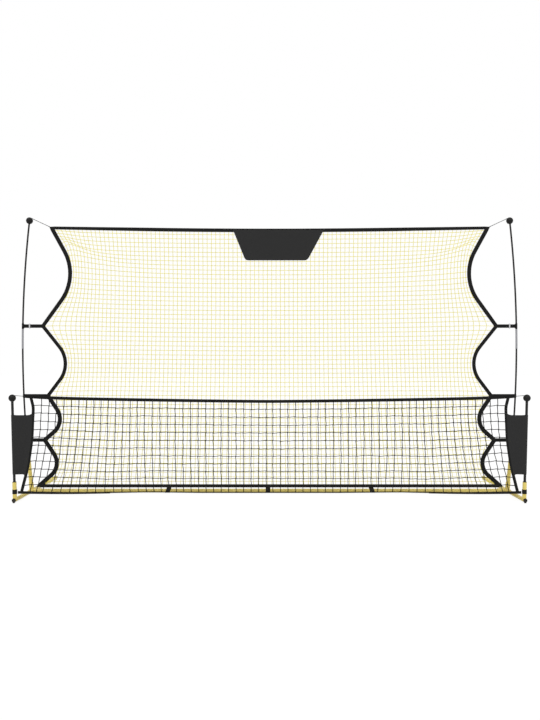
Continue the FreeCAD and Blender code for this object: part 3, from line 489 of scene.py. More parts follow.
# %% Lines
def unit(vector):
    return vector / np.linalg.norm(vector)


def rounded(turns, spacing=0.02):
    """Points of a flat line through (x, z, radius) turns given in millimetres, with round arcs."""
    spots = [np.array(turn[:2]) * MM for turn in turns]
    line = [spots[0]]
    for k in range(1, len(turns) - 1):
        radius = turns[k][2] * MM
        if radius == 0:
            line.append(spots[k])
            continue
        back = unit(spots[k - 1] - spots[k])
        ahead = unit(spots[k + 1] - spots[k])
        half = math.acos(back @ ahead) / 2
        middle = spots[k] + unit(back + ahead) * radius / math.sin(half)
        first = spots[k] + back * radius / math.tan(half) - middle
        last = spots[k] + ahead * radius / math.tan(half) - middle
        start = math.atan2(first[1], first[0])
        sweep = (math.atan2(last[1], last[0]) - start + math.pi) % math.tau - math.pi
        count = max(2, math.ceil(abs(sweep) * radius / spacing))
        for angle in np.linspace(start, start + sweep, count + 1):
            line.append(middle + radius * np.array([math.cos(angle), math.sin(angle)]))
    line.append(spots[-1])
    return np.array(line)


def lengths(line):
    """Length along the line at each of its points."""
    return np.concatenate([[0.0], np.cumsum(np.linalg.norm(np.diff(line, axis=0), axis=1))])


def at(line, places):
    """Points of the line at those lengths along it."""
    run = lengths(line)
    return np.stack([np.interp(places, run, line[:, k]) for k in range(line.shape[1])], axis=-1)


def stepped(line, spacing):
    """The line with points added on its long runs, and its own points kept."""
    run = lengths(line)
    extra = [np.linspace(a, b, max(1, math.ceil((b - a) / spacing)), endpoint=False)
             for a, b in zip(run, run[1:])]
    return at(line, np.concatenate(extra + [run[-1:]]))


def upright(line, depth):
    """A flat x z line stood up at that depth."""
    return np.insert(line, 1, depth, axis=1)


def smooth(share):
    share = np.clip(share, 0.0, 1.0)
    return share * share * (3 - 2 * share)


# %% Bands
def laid_grid(name, places, uv, finish_of):
    """A grid primitive laid on an array of places, with its UV map in metres."""
    rows, columns = places.shape[:2]
    bpy.ops.object.select_all(action="DESELECT")
    bpy.ops.mesh.primitive_grid_add(x_subdivisions=columns - 1, y_subdivisions=rows - 1)
    piece = bpy.context.object
    piece.name = name
    mesh = piece.data
    mesh.vertices.foreach_set("co", places.reshape(-1).astype(np.float32))
    mesh.uv_layers.active.name = "metres"
    corner = np.zeros(len(mesh.loops), np.int32)
    mesh.loops.foreach_get("vertex_index", corner)
    mesh.uv_layers.active.data.foreach_set("uv", uv.reshape(-1, 2)[corner].astype(np.float32).ravel())
    mesh.update()
    mesh.materials.append(finish_of)
    return piece


def thickened(piece, thickness, edge=0.0):
    """Gives a sheet its thickness, and rounds its edges by edge."""
    only(piece)
    wall = piece.modifiers.new("wall", "SOLIDIFY")
    wall.thickness = thickness
    wall.offset = 0.0
    wall.use_even_offset = True
    bpy.ops.object.modifier_apply(modifier=wall.name)
    if edge:
        soft = piece.modifiers.new("soft_edge", "BEVEL")
        soft.width = edge
        soft.segments = 2
        soft.limit_method = "ANGLE"
        soft.angle_limit = math.radians(60)
        bpy.ops.object.modifier_apply(modifier=soft.name)
    bpy.ops.object.shade_smooth_by_angle(angle=math.radians(40))
    return piece


MITRE_LIMIT = 1.5
RIPPLES = (170.0, 41.0)


def sides_of(line, facing, closed=False):
    """Steps across a band that lies along the line and faces that way, mitred where it turns."""
    steps = np.roll(line, -1, axis=0) - line if closed else np.diff(line, axis=0)
    normals = np.cross(facing, steps)
    normals /= np.linalg.norm(normals, axis=1)[:, None]
    before, after = (np.roll(normals, 1, axis=0), normals) if closed else (normals[:-1], normals[1:])
    mean = before + after
    mean /= np.linalg.norm(mean, axis=1)[:, None]
    mean *= np.minimum(1 / (mean * after).sum(axis=1), MITRE_LIMIT)[:, None]
    return mean if closed else np.vstack([normals[:1], mean, normals[-1:]])


def vertical_sides(line):
    """Steps across a band that stands on its edge all along its line."""
    return np.tile([0.0, 0.0, 1.0], (len(line), 1))


def band(name, line, sides, width, thickness, finish_of, pucker=0.0, across=4):
    """A band of webbing along a line. Width is a length, or one for each point."""
    widths = np.broadcast_to(width, len(line))
    shares = np.linspace(-0.5, 0.5, across + 1)
    places = line[None] + shares[:, None, None] * (sides * widths[:, None])[None]
    run = lengths(line)
    ripple = np.sin(run * RIPPLES[0]) * np.sin(run * RIPPLES[1] + 1.0) * pucker
    places[:, :, 1] += ripple[None] * np.cos(shares * math.pi)[:, None]
    uv = np.stack(np.broadcast_arrays(run[None], (shares[:, None] + 0.5) * widths[None]), axis=-1)
    return thickened(laid_grid(name, places, uv, finish_of), thickness, min(thickness, 0.002) * 0.3)


def settle(piece, slot, *nodes, body="frame"):
    """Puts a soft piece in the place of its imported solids, on their body."""
    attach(piece, body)
    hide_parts(*nodes)
    return piece


# %% [markdown]
# ## Border of the tall net
# Black webbing runs all round the fine net. Three straps pull each side outwards, and between them it
# hangs in round scallops. One closed line is drawn through all of it. The band is cut from that line
# in four lengths that meet in mitred corners, as sewn webbing does.
#
# Turns are given as x, z and radius in millimetres. A scallop's middle is given as its x, how far
# down it is between the corners above and below it, and its radius. Where webbing is pulled it
# folds, so its width changes along the way: each table has a place and the width there.

# %% Border of the tall net
NET_DEPTH = -113.0 * MM
TOP_CORNER = (1607.0, 1955.0, 0.0)
TOP_MIDDLE = (0.0, 1929.0, 58000.0)
BOTTOM_CORNER = (1701.0, 53.0, 0.0)
STRAP_TURNS = [(1672.0, 1231.0, 0.0), (1634.0, 717.0, 0.0), (1658.0, 391.0, 0.0)]
SCALLOPS = [(1410.0, 0.497, 340.0), (1454.0, 0.533, 198.0), (1507.0, 0.592, 125.0),
            (1532.0, 0.562, 118.0)]
TOP_WIDTHS = [(0, 27), (900, 27), (1300, 24), (1607, 22)]
PULLED_WIDTHS = [(53, 31), (680, 31), (740, 26), (1180, 26), (1300, 29), (1955, 30)]
FACE_FRONT = np.array([0.0, -1.0, 0.0])

turns = [TOP_CORNER] + STRAP_TURNS + [BOTTOM_CORNER]
right_turns = [TOP_CORNER]
for above, (out, share, radius), below in zip(turns, SCALLOPS, turns[1:]):
    right_turns += [(out, above[1] + share * (below[1] - above[1]), radius), below]
left_turns = [(-x, z, radius) for x, z, radius in reversed(right_turns)]


def between(line, first, last):
    """The part of a line between two of its corners."""
    ends = [np.linalg.norm(line - np.array(corner[:2]) * MM, axis=1).argmin()
            for corner in (first, last)]
    return line[ends[0]:ends[1] + 1]


def read_off(table, places):
    """Values read from rows of (place, value) in millimetres."""
    return np.interp(places, *np.array(table).T * MM)


right_line = rounded(right_turns)
left_line = rounded(left_turns)
top_line = rounded([left_turns[-1], TOP_MIDDLE, TOP_CORNER], 0.03)
bottom_line = np.array([right_turns[-1][:2], left_turns[0][:2]]) * MM
ring_parts = [stepped(part, 0.02) for part in (top_line, right_line, bottom_line, left_line)]
ring = upright(np.vstack([part[:-1] for part in ring_parts]), NET_DEPTH)
ring_sides = sides_of(ring, FACE_FRONT, closed=True)

WEBBING_THICK = 2.0 * MM
PUCKER = 0.4 * MM
top_part, right_part, bottom_part, left_part = ring_parts
border = [
    ("top", top_part, read_off(TOP_WIDTHS, np.abs(top_part[:, 0])), top_webbing),
    ("right", right_part, read_off(PULLED_WIDTHS, right_part[:, 1]), side_webbing),
    ("bottom", bottom_part, BOTTOM_WIDTH, top_webbing),
    ("left", left_part, read_off(PULLED_WIDTHS, left_part[:, 1]), side_webbing),
]
start = 0
for edge, part, width, material in border:
    chosen = np.arange(start, start + len(part)) % len(ring)
    start += len(part) - 1
    piece = band(f"tall_net_{edge}_webbing_sewn", ring[chosen], ring_sides[chosen], width,
                 WEBBING_THICK, material, PUCKER)
    settle(piece, "black_webbing", f"tall_net_{edge}_webbing")
print(f"border of the tall net: {lengths(np.vstack([ring, ring[:1]]))[-1]:.2f} m of webbing")

# %% [markdown]
# ## Threads of the tall net
# The fine net is knotless: threads cross and are joined where they cross. Cut square, it is pulled
# into the scalloped frame, so its lines bend and fan out near the sides. That is found as a stretched
# net finds it: the ends are sewn to the border, and every crossing settles in the middle of its four
# neighbours. The threads are then curves with a round section, made into a mesh.

# %% Threads
def threads(name, chains, diameter, finish_of, rounds=0):
    """Round threads that follow chains of points."""
    mesh = bpy.data.meshes.new(name)
    places = np.vstack(chains)
    starts = np.cumsum([0] + [len(chain) for chain in chains])
    edges = [(k, k + 1) for first, last in zip(starts, starts[1:]) for k in range(first, last - 1)]
    mesh.from_pydata(places.tolist(), edges, [])
    piece = bpy.data.objects.new(name, mesh)
    bpy.context.scene.collection.objects.link(piece)
    only(piece)
    bpy.ops.object.convert(target="CURVE")
    piece = bpy.context.object
    piece.data.bevel_depth = diameter / 2
    piece.data.bevel_resolution = rounds
    piece.data.use_fill_caps = True
    bpy.ops.object.convert(target="MESH")
    piece = bpy.context.object
    bpy.ops.object.shade_smooth()
    piece.data.materials.clear()
    piece.data.materials.append(finish_of)
    return piece


def tucked(chain, depth):
    """The chain with both ends drawn back by depth, so that a thread ends within its webbing."""
    chain = np.array(chain)
    for end, neighbour in ((0, 1), (-1, -2)):
        chain[end] += unit(chain[neighbour] - chain[end]) * depth
    return chain


def knots(name, places, dimensions, finish_of):
    """A small knob, modelled once and copied to every place."""
    bpy.ops.object.select_all(action="DESELECT")
    bpy.ops.mesh.primitive_ico_sphere_add(subdivisions=1, radius=0.5)
    knob = bpy.context.object
    corners = np.array([v.co for v in knob.data.vertices]) * dimensions
    faces = np.array([tuple(face.vertices) for face in knob.data.polygons])
    bpy.data.objects.remove(knob)
    count = len(places)
    points = (places[:, None] + corners[None]).reshape(-1, 3)
    triangles = (faces[None] + len(corners) * np.arange(count)[:, None, None]).reshape(-1, 3)
    mesh = bpy.data.meshes.new(name)
    mesh.from_pydata(points.tolist(), [], triangles.tolist())
    piece = bpy.data.objects.new(name, mesh)
    bpy.context.scene.collection.objects.link(piece)
    only(piece)
    bpy.ops.object.shade_smooth()
    mesh.materials.append(finish_of)
    return piece


def joined(name, *pieces):
    only(pieces[0])
    for piece in pieces[1:]:
        piece.select_set(True)
    bpy.ops.object.join()
    pieces[0].name = name
    return pieces[0]


# %% Tall net
THREAD = 3.2 * MM
COLUMNS = 101
ROWS = (22, 15, 10, 10)
GATHERS = (1.2, 1.0, 1.0, 1.0)
CREST_ROWS = [0, 3, 5, 6, 8, 10, 12, 14]
CREST_RISE = [0, 12, 34, 46, 38, 21, 8, 0]
CREST_COLUMNS = ((5, 11), (2.0, 7.5))
RELAX_STEPS = 2500


def down_the_side(line, corners):
    """Where the rows are sewn to one side: gathered towards the top corner."""
    spots = []
    for first, last, rows, gather in zip(corners, corners[1:], ROWS, GATHERS):
        part = between(line, first, last)
        spots.append(at(part, (np.arange(rows) / rows) ** gather * lengths(part)[-1]))
    return np.vstack(spots + [line[-1:]])


right_spots = down_the_side(right_line, turns)
left_spots = right_spots * (-1, 1)
top_spots = at(top_line, np.linspace(0, lengths(top_line)[-1], COLUMNS + 1))
bottom_spots = at(bottom_line[::-1], np.linspace(0, lengths(bottom_line)[-1], COLUMNS + 1))
down = np.linspace(0, 1, sum(ROWS) + 1)[:, None, None]
net = top_spots[None] * (1 - down) + bottom_spots[None] * down
net[:, 0] = left_spots
net[:, -1] = right_spots
for _ in range(RELAX_STEPS):
    net[1:-1, 1:-1] = (net[:-2, 1:-1] + net[2:, 1:-1] + net[1:-1, :-2] + net[1:-1, 2:]) / 4

# beside the upper scallops the rows ride up, and turn down to the webbing: each row has its rise in
# millimetres, and the columns from the side where it is highest
row = np.arange(len(net))[:, None]
column = np.minimum(np.arange(COLUMNS + 1), COLUMNS - np.arange(COLUMNS + 1))[None]
part_way = column / np.interp(row, *CREST_COLUMNS)
net[:, :, 1] += np.interp(row, CREST_ROWS, CREST_RISE) * MM * part_way * np.exp(1 - part_way)

# the uprights lie in front of the level threads, both behind the webbing, and end within its width
LIFT = 0.5 * MM
TUCK = 11.0 * MM
BEHIND = NET_DEPTH + 1.4 * MM
uprights = [tucked(upright(net[:, k], BEHIND - LIFT), TUCK) for k in range(1, COLUMNS)]
levels = [tucked(upright(net[k], BEHIND + LIFT), TUCK) for k in range(1, sum(ROWS))]
crossings = upright(net[1:-1, 1:-1].reshape(-1, 2), BEHIND)
tall_net = joined(
    "tall_net_threads",
    threads("thread_lines", uprights + levels, THREAD, yellow_thread),
    knots("thread_joins", crossings, np.array([1.3, 1.2, 1.3]) * THREAD, yellow_thread),
)
settle(tall_net, "yellow_net", "tall_net")
print(f"tall net: {len(crossings)} crossings, {len(tall_net.data.polygons)} faces")

# %% [markdown]
# ## Cloth patch
# A plain black cloth is sewn to the top edge, off the middle, and hangs 22 cm down in front of the
# net. It tapers and has round lower corners. It stays bare here.

# %% Cloth patch
PATCH_TOP = (-270.0 * MM, 400.0 * MM)
PATCH_BOTTOM = (-178.0 * MM, 278.0 * MM)
PATCH_HIGH = 1939.0 * MM
PATCH_LOW = 1715.0 * MM
PATCH_ROUND = 20.0 * MM
PATCH_FRONT = NET_DEPTH - 2.2 * MM
CLOTH_THICK = 0.9 * MM
CLOTH_EDGE = 0.25 * MM

# rows of faces from the bottom up, closer together where the corners are round
up = np.linspace(0, 1, 33)
up = np.concatenate([np.linspace(0, up[3], 9)[:-1], up[3:]])
high = PATCH_LOW + up * (PATCH_HIGH - PATCH_LOW)
below_arc = np.maximum(0.0, PATCH_ROUND - (high - PATCH_LOW))
cut_in = PATCH_ROUND - np.sqrt(np.maximum(0.0, PATCH_ROUND ** 2 - below_arc ** 2))
left_edge = PATCH_BOTTOM[0] + up * (PATCH_TOP[0] - PATCH_BOTTOM[0]) + cut_in
right_edge = PATCH_BOTTOM[1] + up * (PATCH_TOP[1] - PATCH_BOTTOM[1]) - cut_in
over = np.linspace(0, 1, 65)[None]
wide = left_edge[:, None] + over * (right_edge - left_edge)[:, None]
tall = np.broadcast_to(high[:, None], wide.shape)
slack = np.sin(wide * 23.0 + 1.2) * np.sin(tall * 9.0) * 1.1 * MM
cloth = np.stack([wide, PATCH_FRONT + slack - 1.1 * MM, tall], axis=-1)
patch = laid_grid("tall_net_patch_cloth", cloth, np.stack([wide, tall], axis=-1), black_cloth)
thickened(patch, CLOTH_THICK, CLOTH_EDGE)
settle(patch, "black_cloth", "tall_net_patch")

# %% [markdown]
# ## Straps to the tall poles
# Each strap is one length of webbing that leaves the border, goes round the pole and comes back on
# itself, where it is sewn down. The upper one runs through its slider, and its loop is taller. The
# pole stands in a leaning socket on the rail and bows inwards above it, so its place is worked out.

# %% Straps
CORNER = np.array([1753.0, 18.0]) * MM
LEAN = math.radians(5.8)
SOCKET = 250.0 * MM
BOW = 8250.0 * MM
POLE_RADIUS = 6.3 * MM
mouth = CORNER + SOCKET * np.array([math.sin(LEAN), math.cos(LEAN)])
bow_centre = mouth + BOW * np.array([-math.cos(LEAN), math.sin(LEAN)])


def pole_out(height):
    """How far the bowed pole's middle is from the net's middle at that height."""
    return bow_centre[0] + math.sqrt(BOW ** 2 - (height - bow_centre[1]) ** 2)


STRAP_THICK = 1.2 * MM
LAYER = 0.8 * MM
SNUG = 0.4 * MM
LOOP_RADIUS = POLE_RADIUS + SNUG + STRAP_THICK / 2
LOOP_EASE = 14.0 * MM
WIDEN_FROM = 13.0 * MM
WIDEN_OVER = 9.0 * MM
UNDER_BORDER = 16.0 * MM


def strap(name, sign, tip, height, loop_height):
    """One strap, from the border's tip to the pole and back."""
    pole = pole_out(height)
    ahead = np.linspace(tip - UNDER_BORDER, pole, 80)
    gap = LAYER + (LOOP_RADIUS - LAYER) * smooth((ahead - pole + LOOP_EASE) / LOOP_EASE)
    turn = np.radians(np.linspace(-90, 90, 15)[1:-1])
    around = np.stack([pole + LOOP_RADIUS * np.cos(turn), LOOP_RADIUS * np.sin(turn)], -1)
    flat = np.vstack([np.stack([ahead, -gap], -1), around, np.stack([ahead, gap], -1)[:7:-1]])
    wider = smooth((flat[:, 0] - pole + WIDEN_FROM) / WIDEN_OVER)
    widths = STRAP_WIDTH + (loop_height - STRAP_WIDTH) * wider
    line = np.stack([flat[:, 0] * sign, NET_DEPTH + flat[:, 1], np.full(len(flat), height)], -1)
    return band(name, line, vertical_sides(line), widths, STRAP_THICK, strap_webbing)


LOOP_HEIGHTS = (40.0 * MM, STRAP_WIDTH, STRAP_WIDTH)
STRAP_PLACES = ("upper", "middle", "lower")
for side, sign in SIGNS:
    for place, turn, loop_height in zip(STRAP_PLACES, STRAP_TURNS, LOOP_HEIGHTS):
        piece = strap(f"{side}_{place}_strap_loop", sign, turn[0] * MM, turn[1] * MM, loop_height)
        settle(piece, "black_webbing", f"{side}_{place}_strap")

# %% [markdown]
# ## Tabs to the crossbar
# Three short tabs wrap the crossbar and hold the bottom edge down. The outer two are pulled outwards.

# %% Tabs
TABS = [(-734.0 * MM, -20.0 * MM), (-12.0 * MM, 0.0), (741.0 * MM, 20.0 * MM)]
TAB_WIDTH = 34.0 * MM
TAB_TOP = 62.0 * MM
TAB_CLOSES = 46.0 * MM
TAB_LAYER = 1.9 * MM
BAR_RADIUS = 14.0 * MM
BAR_HEIGHT = 18.0 * MM
WRAP_RADIUS = BAR_RADIUS + SNUG + STRAP_THICK / 2

# the shape from the side: down the front, round the bar, and up again behind
turn = np.radians(np.linspace(-30, -330, 41))
around = np.stack([WRAP_RADIUS * np.sin(turn), BAR_HEIGHT + WRAP_RADIUS * np.cos(turn)], -1)
rise = np.linspace(TAB_TOP, around[0, 1] + 4 * MM, 8)
closing = np.interp(rise, [around[0, 1], TAB_CLOSES], [-WRAP_RADIUS * 0.5, -TAB_LAYER])
front = np.stack([closing, rise], -1)
flat = np.vstack([front, around, front[::-1] * (-1, 1)])
tabs = []
for k, (place, drift) in enumerate(TABS):
    out = place + drift * (TAB_TOP - flat[:, 1]) / TAB_TOP
    line = np.stack([out, NET_DEPTH + flat[:, 0], flat[:, 1]], -1)
    level_sides = np.tile([1.0, 0.0, 0.0], (len(line), 1))
    tabs.append(band(f"tab_{k}", line, level_sides, TAB_WIDTH, STRAP_THICK, strap_webbing))
settle(joined("crossbar_tabs_sewn", *tabs), "black_webbing", "crossbar_tabs")

# %% [markdown]
# ## Border of the front net
# The low net has webbing along its top and its sides. The top edge sags and bows back to the middle,
# because balls push it. Its lower edge is a hem at the sides and a thin cord along the crossbar.

# %% Top and sides of the front net
FRONT_DEPTH = -482.0 * MM
FRONT_OUT = 1686.0 * MM
TOP_LOW = 685.0 * MM
MIDDLE_DEPTH = -285.0 * MM
FRONT_WIDTH = 22.0 * MM
FRONT_SIDE_WIDTH = 21.0 * MM


def front_top(out):
    """The middle of the front net's top edge, at a distance from the middle of the net."""
    share = np.abs(out) / FRONT_OUT
    sag = 36 * MM * share ** 1.5 + 10 * MM * share ** 12
    return np.stack([out, MIDDLE_DEPTH + (FRONT_DEPTH - MIDDLE_DEPTH) * share ** 2, TOP_LOW + sag], -1)


top_edge = front_top(np.linspace(-FRONT_OUT, FRONT_OUT, 170))
piece = band("front_net_top_webbing_sewn", top_edge, vertical_sides(top_edge), FRONT_WIDTH,
             WEBBING_THICK, top_webbing, PUCKER)
settle(piece, "black_webbing", "front_net_top_webbing")

SIDE_TURNS = [(1643.0, 722.0, 0.0), (1626.0, 655.0, 150.0), (1636.0, 430.0, 900.0),
              (1662.0, 251.0, 900.0), (1709.0, 66.0, 0.0)]
SIDE_DEPTH = FRONT_DEPTH + 1.25 * MM
side_line = stepped(rounded(SIDE_TURNS), 0.02)
for side, sign in SIGNS:
    line = upright(side_line * (sign, 1), SIDE_DEPTH)
    piece = band(f"front_net_{side}_webbing_sewn", line, sides_of(line, FACE_FRONT), FRONT_SIDE_WIDTH,
                 WEBBING_THICK, side_webbing, PUCKER)
    settle(piece, "black_webbing", f"front_net_{side}_webbing")

# %% Hem of the front net
HEM_CORNER = np.array([1733.0 * MM, FRONT_DEPTH, 70.0 * MM])
HEM_MEETS_BAR = np.array([1170.0 * MM, -134.0 * MM, 6.5 * MM])
HEM_WIDTH = 12.0 * MM
HEM_CORNER_WIDTH = 19.0 * MM
HEM_SAG = 4.0 * MM
EDGE_CORD = 6.0 * MM
EDGE_CORD_HEIGHTS = [(-1170, 6), (-881, 12), (-513, 7), (0, 7), (500, 7), (962, 11), (1170, 6)]

hem_pieces = []
for sign in (1, -1):
    flip = np.array([sign, 1, 1])
    line = np.linspace(HEM_CORNER * flip, HEM_MEETS_BAR * flip, 40)
    line[:, 2] -= np.sin(np.linspace(0, math.pi, 40)) * HEM_SAG
    widths = np.linspace(HEM_CORNER_WIDTH, HEM_WIDTH, len(line))
    hem_pieces.append(band("hem_side", line, vertical_sides(line), widths, WEBBING_THICK, top_webbing))
out = np.linspace(-HEM_MEETS_BAR[0], HEM_MEETS_BAR[0], 120)
edge_up = read_off(EDGE_CORD_HEIGHTS, out)
edge_line = np.stack([out, np.full(len(out), HEM_MEETS_BAR[1]), edge_up], -1)
hem_pieces.append(threads("hem_cord", [edge_line], EDGE_CORD, black_twine, rounds=2))
settle(joined("front_net_hem_sewn", *hem_pieces), "black_webbing", "front_net_hem")

# %% [markdown]
# ## Twine of the front net
# The coarse net is knotted. Its twine leaves each knot a little to one side, which gives the lines
# their small steps. The net hangs down from the top edge and curves back to the crossbar. The places
# of its columns are given for some of them, counted from the middle, and read off between them.

# %% Front net
TWINE = 6.0 * MM
TWINE_KNOT = np.array([8.5, 7.5, 8.5]) * MM
HALF_COLUMNS = 31
GAPS_DOWN = 12
TOP_PLACES = [(0, 23), (16, 885), (25, 1331), (30, 1577)]
BOTTOM_PLACES = [(0, 26), (16, 903), (22, 1265), (28, 1590), (30, 1664)]
STEP = 1.7 * MM
UNEVEN = 1.3 * MM
FRONT_TUCK = 6.0 * MM
draw = np.random.default_rng(7)


def column_places(table):
    spots = np.interp(np.arange(HALF_COLUMNS), *np.array(table).T) * MM
    return np.concatenate([-spots[::-1], spots])


def low_edge_point(out):
    """The middle of the net's lower edge, at a distance from the middle of the net."""
    hem_run = HEM_CORNER[0] - HEM_MEETS_BAR[0]
    beyond = np.clip((np.abs(out) - HEM_MEETS_BAR[0]) / hem_run, 0, 1)[:, None]
    cord_up = read_off(EDGE_CORD_HEIGHTS, out)
    bar = np.stack([out, np.full(len(out), HEM_MEETS_BAR[1]), cord_up], -1)
    end = np.stack([out, np.full(len(out), HEM_CORNER[1]), np.full(len(out), HEM_CORNER[2])], -1)
    return bar * (1 - beyond) + end * beyond


def net_point(top, bottom, share):
    """A point on the hanging net. Share is 1 at the top edge and 0 at the bottom. The columns hang
    plumb below the top edge, and go out and back to their lower end near the ground."""
    point = bottom + (top - bottom) * share
    point[..., 0] = top[..., 0] + (bottom[..., 0] - top[..., 0]) * (1 - share[..., 0]) ** 2
    point[..., 1] = top[..., 1] + (bottom[..., 1] - top[..., 1]) * (1 - share[..., 0]) ** 3
    return point


top_ends = front_top(column_places(TOP_PLACES))
bottom_ends = low_edge_point(column_places(BOTTOM_PLACES))
shares = np.linspace(1, 0, GAPS_DOWN + 1)[:, None, None]
mesh_points = net_point(top_ends[None], bottom_ends[None], shares)
inner = mesh_points[1:-1]
inner[..., 0] += draw.normal(0, UNEVEN, inner.shape[:2])
inner[..., 2] += draw.normal(0, UNEVEN, inner.shape[:2])


def border_out(height):
    """How far the side border is from the middle of the net at that height."""
    return np.interp(height, side_line[::-1, 1], side_line[::-1, 0])


def side_end(points, sign):
    """Where a row meets the side border."""
    height = points[:, 2]
    return np.stack([sign * border_out(height), np.full(len(height), SIDE_DEPTH), height], -1)


left_ends = side_end(inner[:, 0], -1)
right_ends = side_end(inner[:, -1], 1)
chains = []
for k in range(mesh_points.shape[1]):
    column = inner[:, k]
    passed = np.stack([column + (STEP, 0, STEP), column - (STEP, 0, STEP)], axis=1).reshape(-1, 3)
    chains.append(tucked(np.vstack([mesh_points[:1, k], passed, mesh_points[-1:, k]]), FRONT_TUCK))
for row, left_end, right_end in zip(inner, left_ends, right_ends):
    passed = np.stack([row + (-STEP, 0, STEP), row + (STEP, 0, -STEP)], axis=1).reshape(-1, 3)
    chains.append(tucked(np.vstack([left_end, passed, right_end]), FRONT_TUCK))
front_net = joined(
    "front_net_twine",
    threads("twine_lines", chains, TWINE, black_twine, rounds=1),
    knots("twine_knots", inner.reshape(-1, 3), TWINE_KNOT, black_twine),
)
settle(front_net, "black_net", "front_net")
print(f"front net: {inner.shape[0] * inner.shape[1]} knots, {len(front_net.data.polygons)} faces")

# %% [markdown]
# ## Side panels
# A black cloth fills the space between each front pole and the net's side. It is a pocket: the cloth
# wraps the pole and comes back behind itself. Its inner corners run out round into the webbing.

# %% Side panels
PANEL_LOW = 194.0 * MM
PANEL_HIGH = 602.0 * MM
PANEL_ROUND = 22.0 * MM
FRONT_LEAN = math.radians(1.5)
SLEEVE = 10.4 * MM
RETURN = 34.0 * MM
OVER_BORDER = 4.0 * MM


def front_pole_out(height):
    """How far the front pole's middle is from the middle of the net at that height."""
    return CORNER[0] + math.tan(FRONT_LEAN) * (height - CORNER[1])


def panel(name, sign):
    """One panel, and the width of its cloth laid flat: in front, round the pole and back."""
    across = np.linspace(0, 1, 33)
    width = front_pole_out(PANEL_LOW) - border_out(PANEL_LOW)
    run_out = np.clip(PANEL_ROUND - across * width, 0, PANEL_ROUND)
    corner = PANEL_ROUND - np.sqrt(PANEL_ROUND ** 2 - run_out ** 2)
    turn = np.radians(np.linspace(-90, 90, 19)[1:])
    back = np.linspace(0, 1, 9)[1:]
    flat_count = len(across)
    column_low = np.concatenate([PANEL_LOW - corner, np.full(len(turn) + len(back), PANEL_LOW)])
    column_high = np.concatenate([PANEL_HIGH + corner, np.full(len(turn) + len(back), PANEL_HIGH)])
    up = np.linspace(0, 1, 49)[:, None]
    height = column_low[None] + up * (column_high - column_low)[None]
    pole = front_pole_out(height)
    inside = border_out(height) + OVER_BORDER
    out = np.zeros(height.shape)
    depth = np.zeros(height.shape)
    front = slice(0, flat_count)
    out[:, front] = inside[:, front] + across * (pole - inside)[:, front]
    depth[:, front] = 0.2 * MM - (SLEEVE + 0.2 * MM) * smooth(across)
    wrap = slice(flat_count, flat_count + len(turn))
    out[:, wrap] = pole[:, wrap] + SLEEVE * np.cos(turn)
    depth[:, wrap] = SLEEVE * np.sin(turn)
    rest = slice(flat_count + len(turn), None)
    out[:, rest] = pole[:, rest] - RETURN * back
    depth[:, rest] = SLEEVE - (SLEEVE + 4.4 * MM) * smooth(back)
    crease = np.sin(height * 31.0 + out * 60.0) * np.sin(height * 11.0) * 0.7 * MM
    depth[:, front] += crease[:, front] * np.sin(across * math.pi)
    places = np.stack([out * sign, FRONT_DEPTH + depth, height], -1)
    along = lengths(places[len(places) // 2])
    uv = np.stack([np.broadcast_to(along[None], height.shape), height], -1)
    piece = thickened(laid_grid(name, places, uv, black_cloth), CLOTH_THICK, CLOTH_EDGE)
    print(f"{name}: cut {along[-1] * 1000:.0f} by {(PANEL_HIGH - PANEL_LOW) * 1000:.0f} mm")
    return piece, along[-1]


for side, sign in SIGNS:
    piece, cut_width = panel(f"{side}_side_panel_cloth", sign)
    settle(piece, "black_cloth", f"{side}_side_panel")

# %% [markdown]
# ## Straps round the front sockets
# The ends of the hem are held by a strap that is wound round the front socket and overlaps itself.
# The socket is a tube like the crossbar, so the strap winds round it as the tabs do round the bar.

# %% Socket straps
STRAP_MIDDLE = 75.0 * MM
SOCKET_STRAP_WIDTH = 30.0 * MM
WOUND = 400.0
SECOND_LAYER = 1.3 * MM

turn = np.radians(np.linspace(0, WOUND, 61))
radius = WRAP_RADIUS + SECOND_LAYER * smooth((np.degrees(turn) - 330) / 40)
centre = front_pole_out(STRAP_MIDDLE)
for side, sign in SIGNS:
    line = np.stack([
        (centre - radius * np.cos(turn)) * sign,
        FRONT_DEPTH + radius * np.sin(turn),
        np.full(len(turn), STRAP_MIDDLE),
    ], -1)
    piece = band(f"{side}_socket_strap_wound", line, vertical_sides(line), SOCKET_STRAP_WIDTH,
                 STRAP_THICK, strap_webbing)
    settle(piece, "black_webbing", f"{side}_socket_strap")

# %% [markdown]
# ## Elastic cords
# A thin elastic cord runs from a hole in each ball to the corner of its net, pulled tight. It ends in a
# knot on the ball and in a small loop through the corner of the webbing.

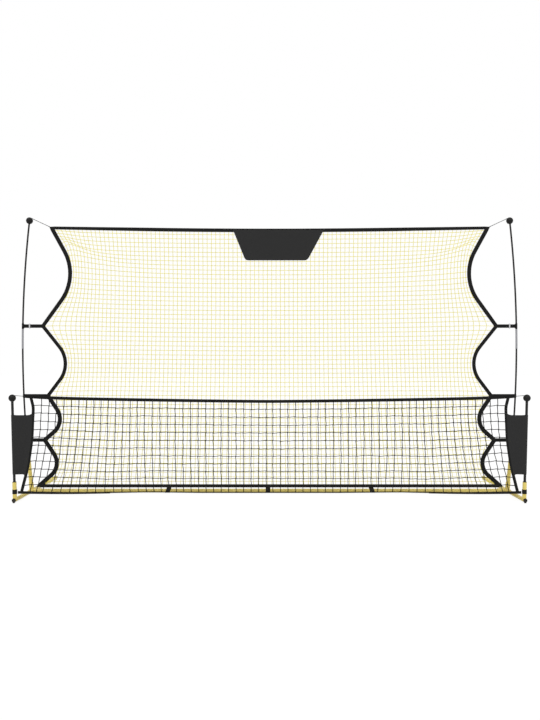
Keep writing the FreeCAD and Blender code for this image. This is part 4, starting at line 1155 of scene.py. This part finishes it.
# %% Elastic cords
CORD = 4.0 * MM
CORD_KNOT = np.array([6.5, 6.0, 6.5]) * MM
CORD_ANGLE = math.radians(43)
IN_BALL = 1.5 * MM
LOOP_LONG = 9.0 * MM
LOOP_WIDE = 2.6 * MM
LOOP_NECK = 6.0 * MM
BALL = 25.0 * MM
TALL_BALL_HEIGHT = 2008.0 * MM
FRONT_BALL_HEIGHT = 719.0 * MM


def corner_cord(name, sign, ball, corner):
    """A tight cord from the upper inner side of a ball to a corner, with a knot and a loop."""
    out_of_ball = np.array([-math.sin(CORD_ANGLE), 0.0, math.cos(CORD_ANGLE)])
    start = ball + out_of_ball * (BALL - IN_BALL)
    way = unit(corner - start)
    behind = np.array([0.0, 1.0, 0.0])
    eye = corner + way * 0.5 * MM
    neck = eye - way * LOOP_NECK
    loop = [eye + way * (LOOP_LONG * math.sin(a)) + behind * (LOOP_WIDE * math.sin(2 * a))
            for a in np.linspace(0.12, math.pi - 0.12, 14)]
    line = np.vstack([[start, start + way * 4 * MM, neck], loop, [neck]])
    tube = threads(f"{name}_line", [line * (sign, 1, 1)], CORD, elastic, rounds=2)
    knot_places = np.array([start + way * 2.5 * MM, neck, eye - way * 9 * MM]) * (sign, 1, 1)
    ties = knots(f"{name}_knots", knot_places, CORD_KNOT, elastic)
    print(f"{name}: {np.linalg.norm(corner - start) * 1000:.0f} mm")
    return joined(f"{name}_elastic", tube, ties)


# the tall net's cord is tied at the outer tip of the webbing's corner, beyond the border's line
tall_corner = np.array([(TOP_CORNER[0] + 14) * MM, NET_DEPTH, (TOP_CORNER[1] + 8) * MM])
front_corner = np.array([FRONT_OUT, FRONT_DEPTH, front_top(np.array([FRONT_OUT]))[0, 2]])
for side, sign in SIGNS:
    tall_ball = np.array([pole_out(TALL_BALL_HEIGHT), NET_DEPTH, TALL_BALL_HEIGHT])
    front_ball = np.array([front_pole_out(FRONT_BALL_HEIGHT), FRONT_DEPTH, FRONT_BALL_HEIGHT])
    cords = (("top", tall_ball, tall_corner), ("front", front_ball, front_corner))
    for place, ball, corner in cords:
        piece = corner_cord(f"{side}_{place}_corner_cord", sign, ball, corner)
        settle(piece, "elastic_cord", f"{side}_{place}_corner_cord")
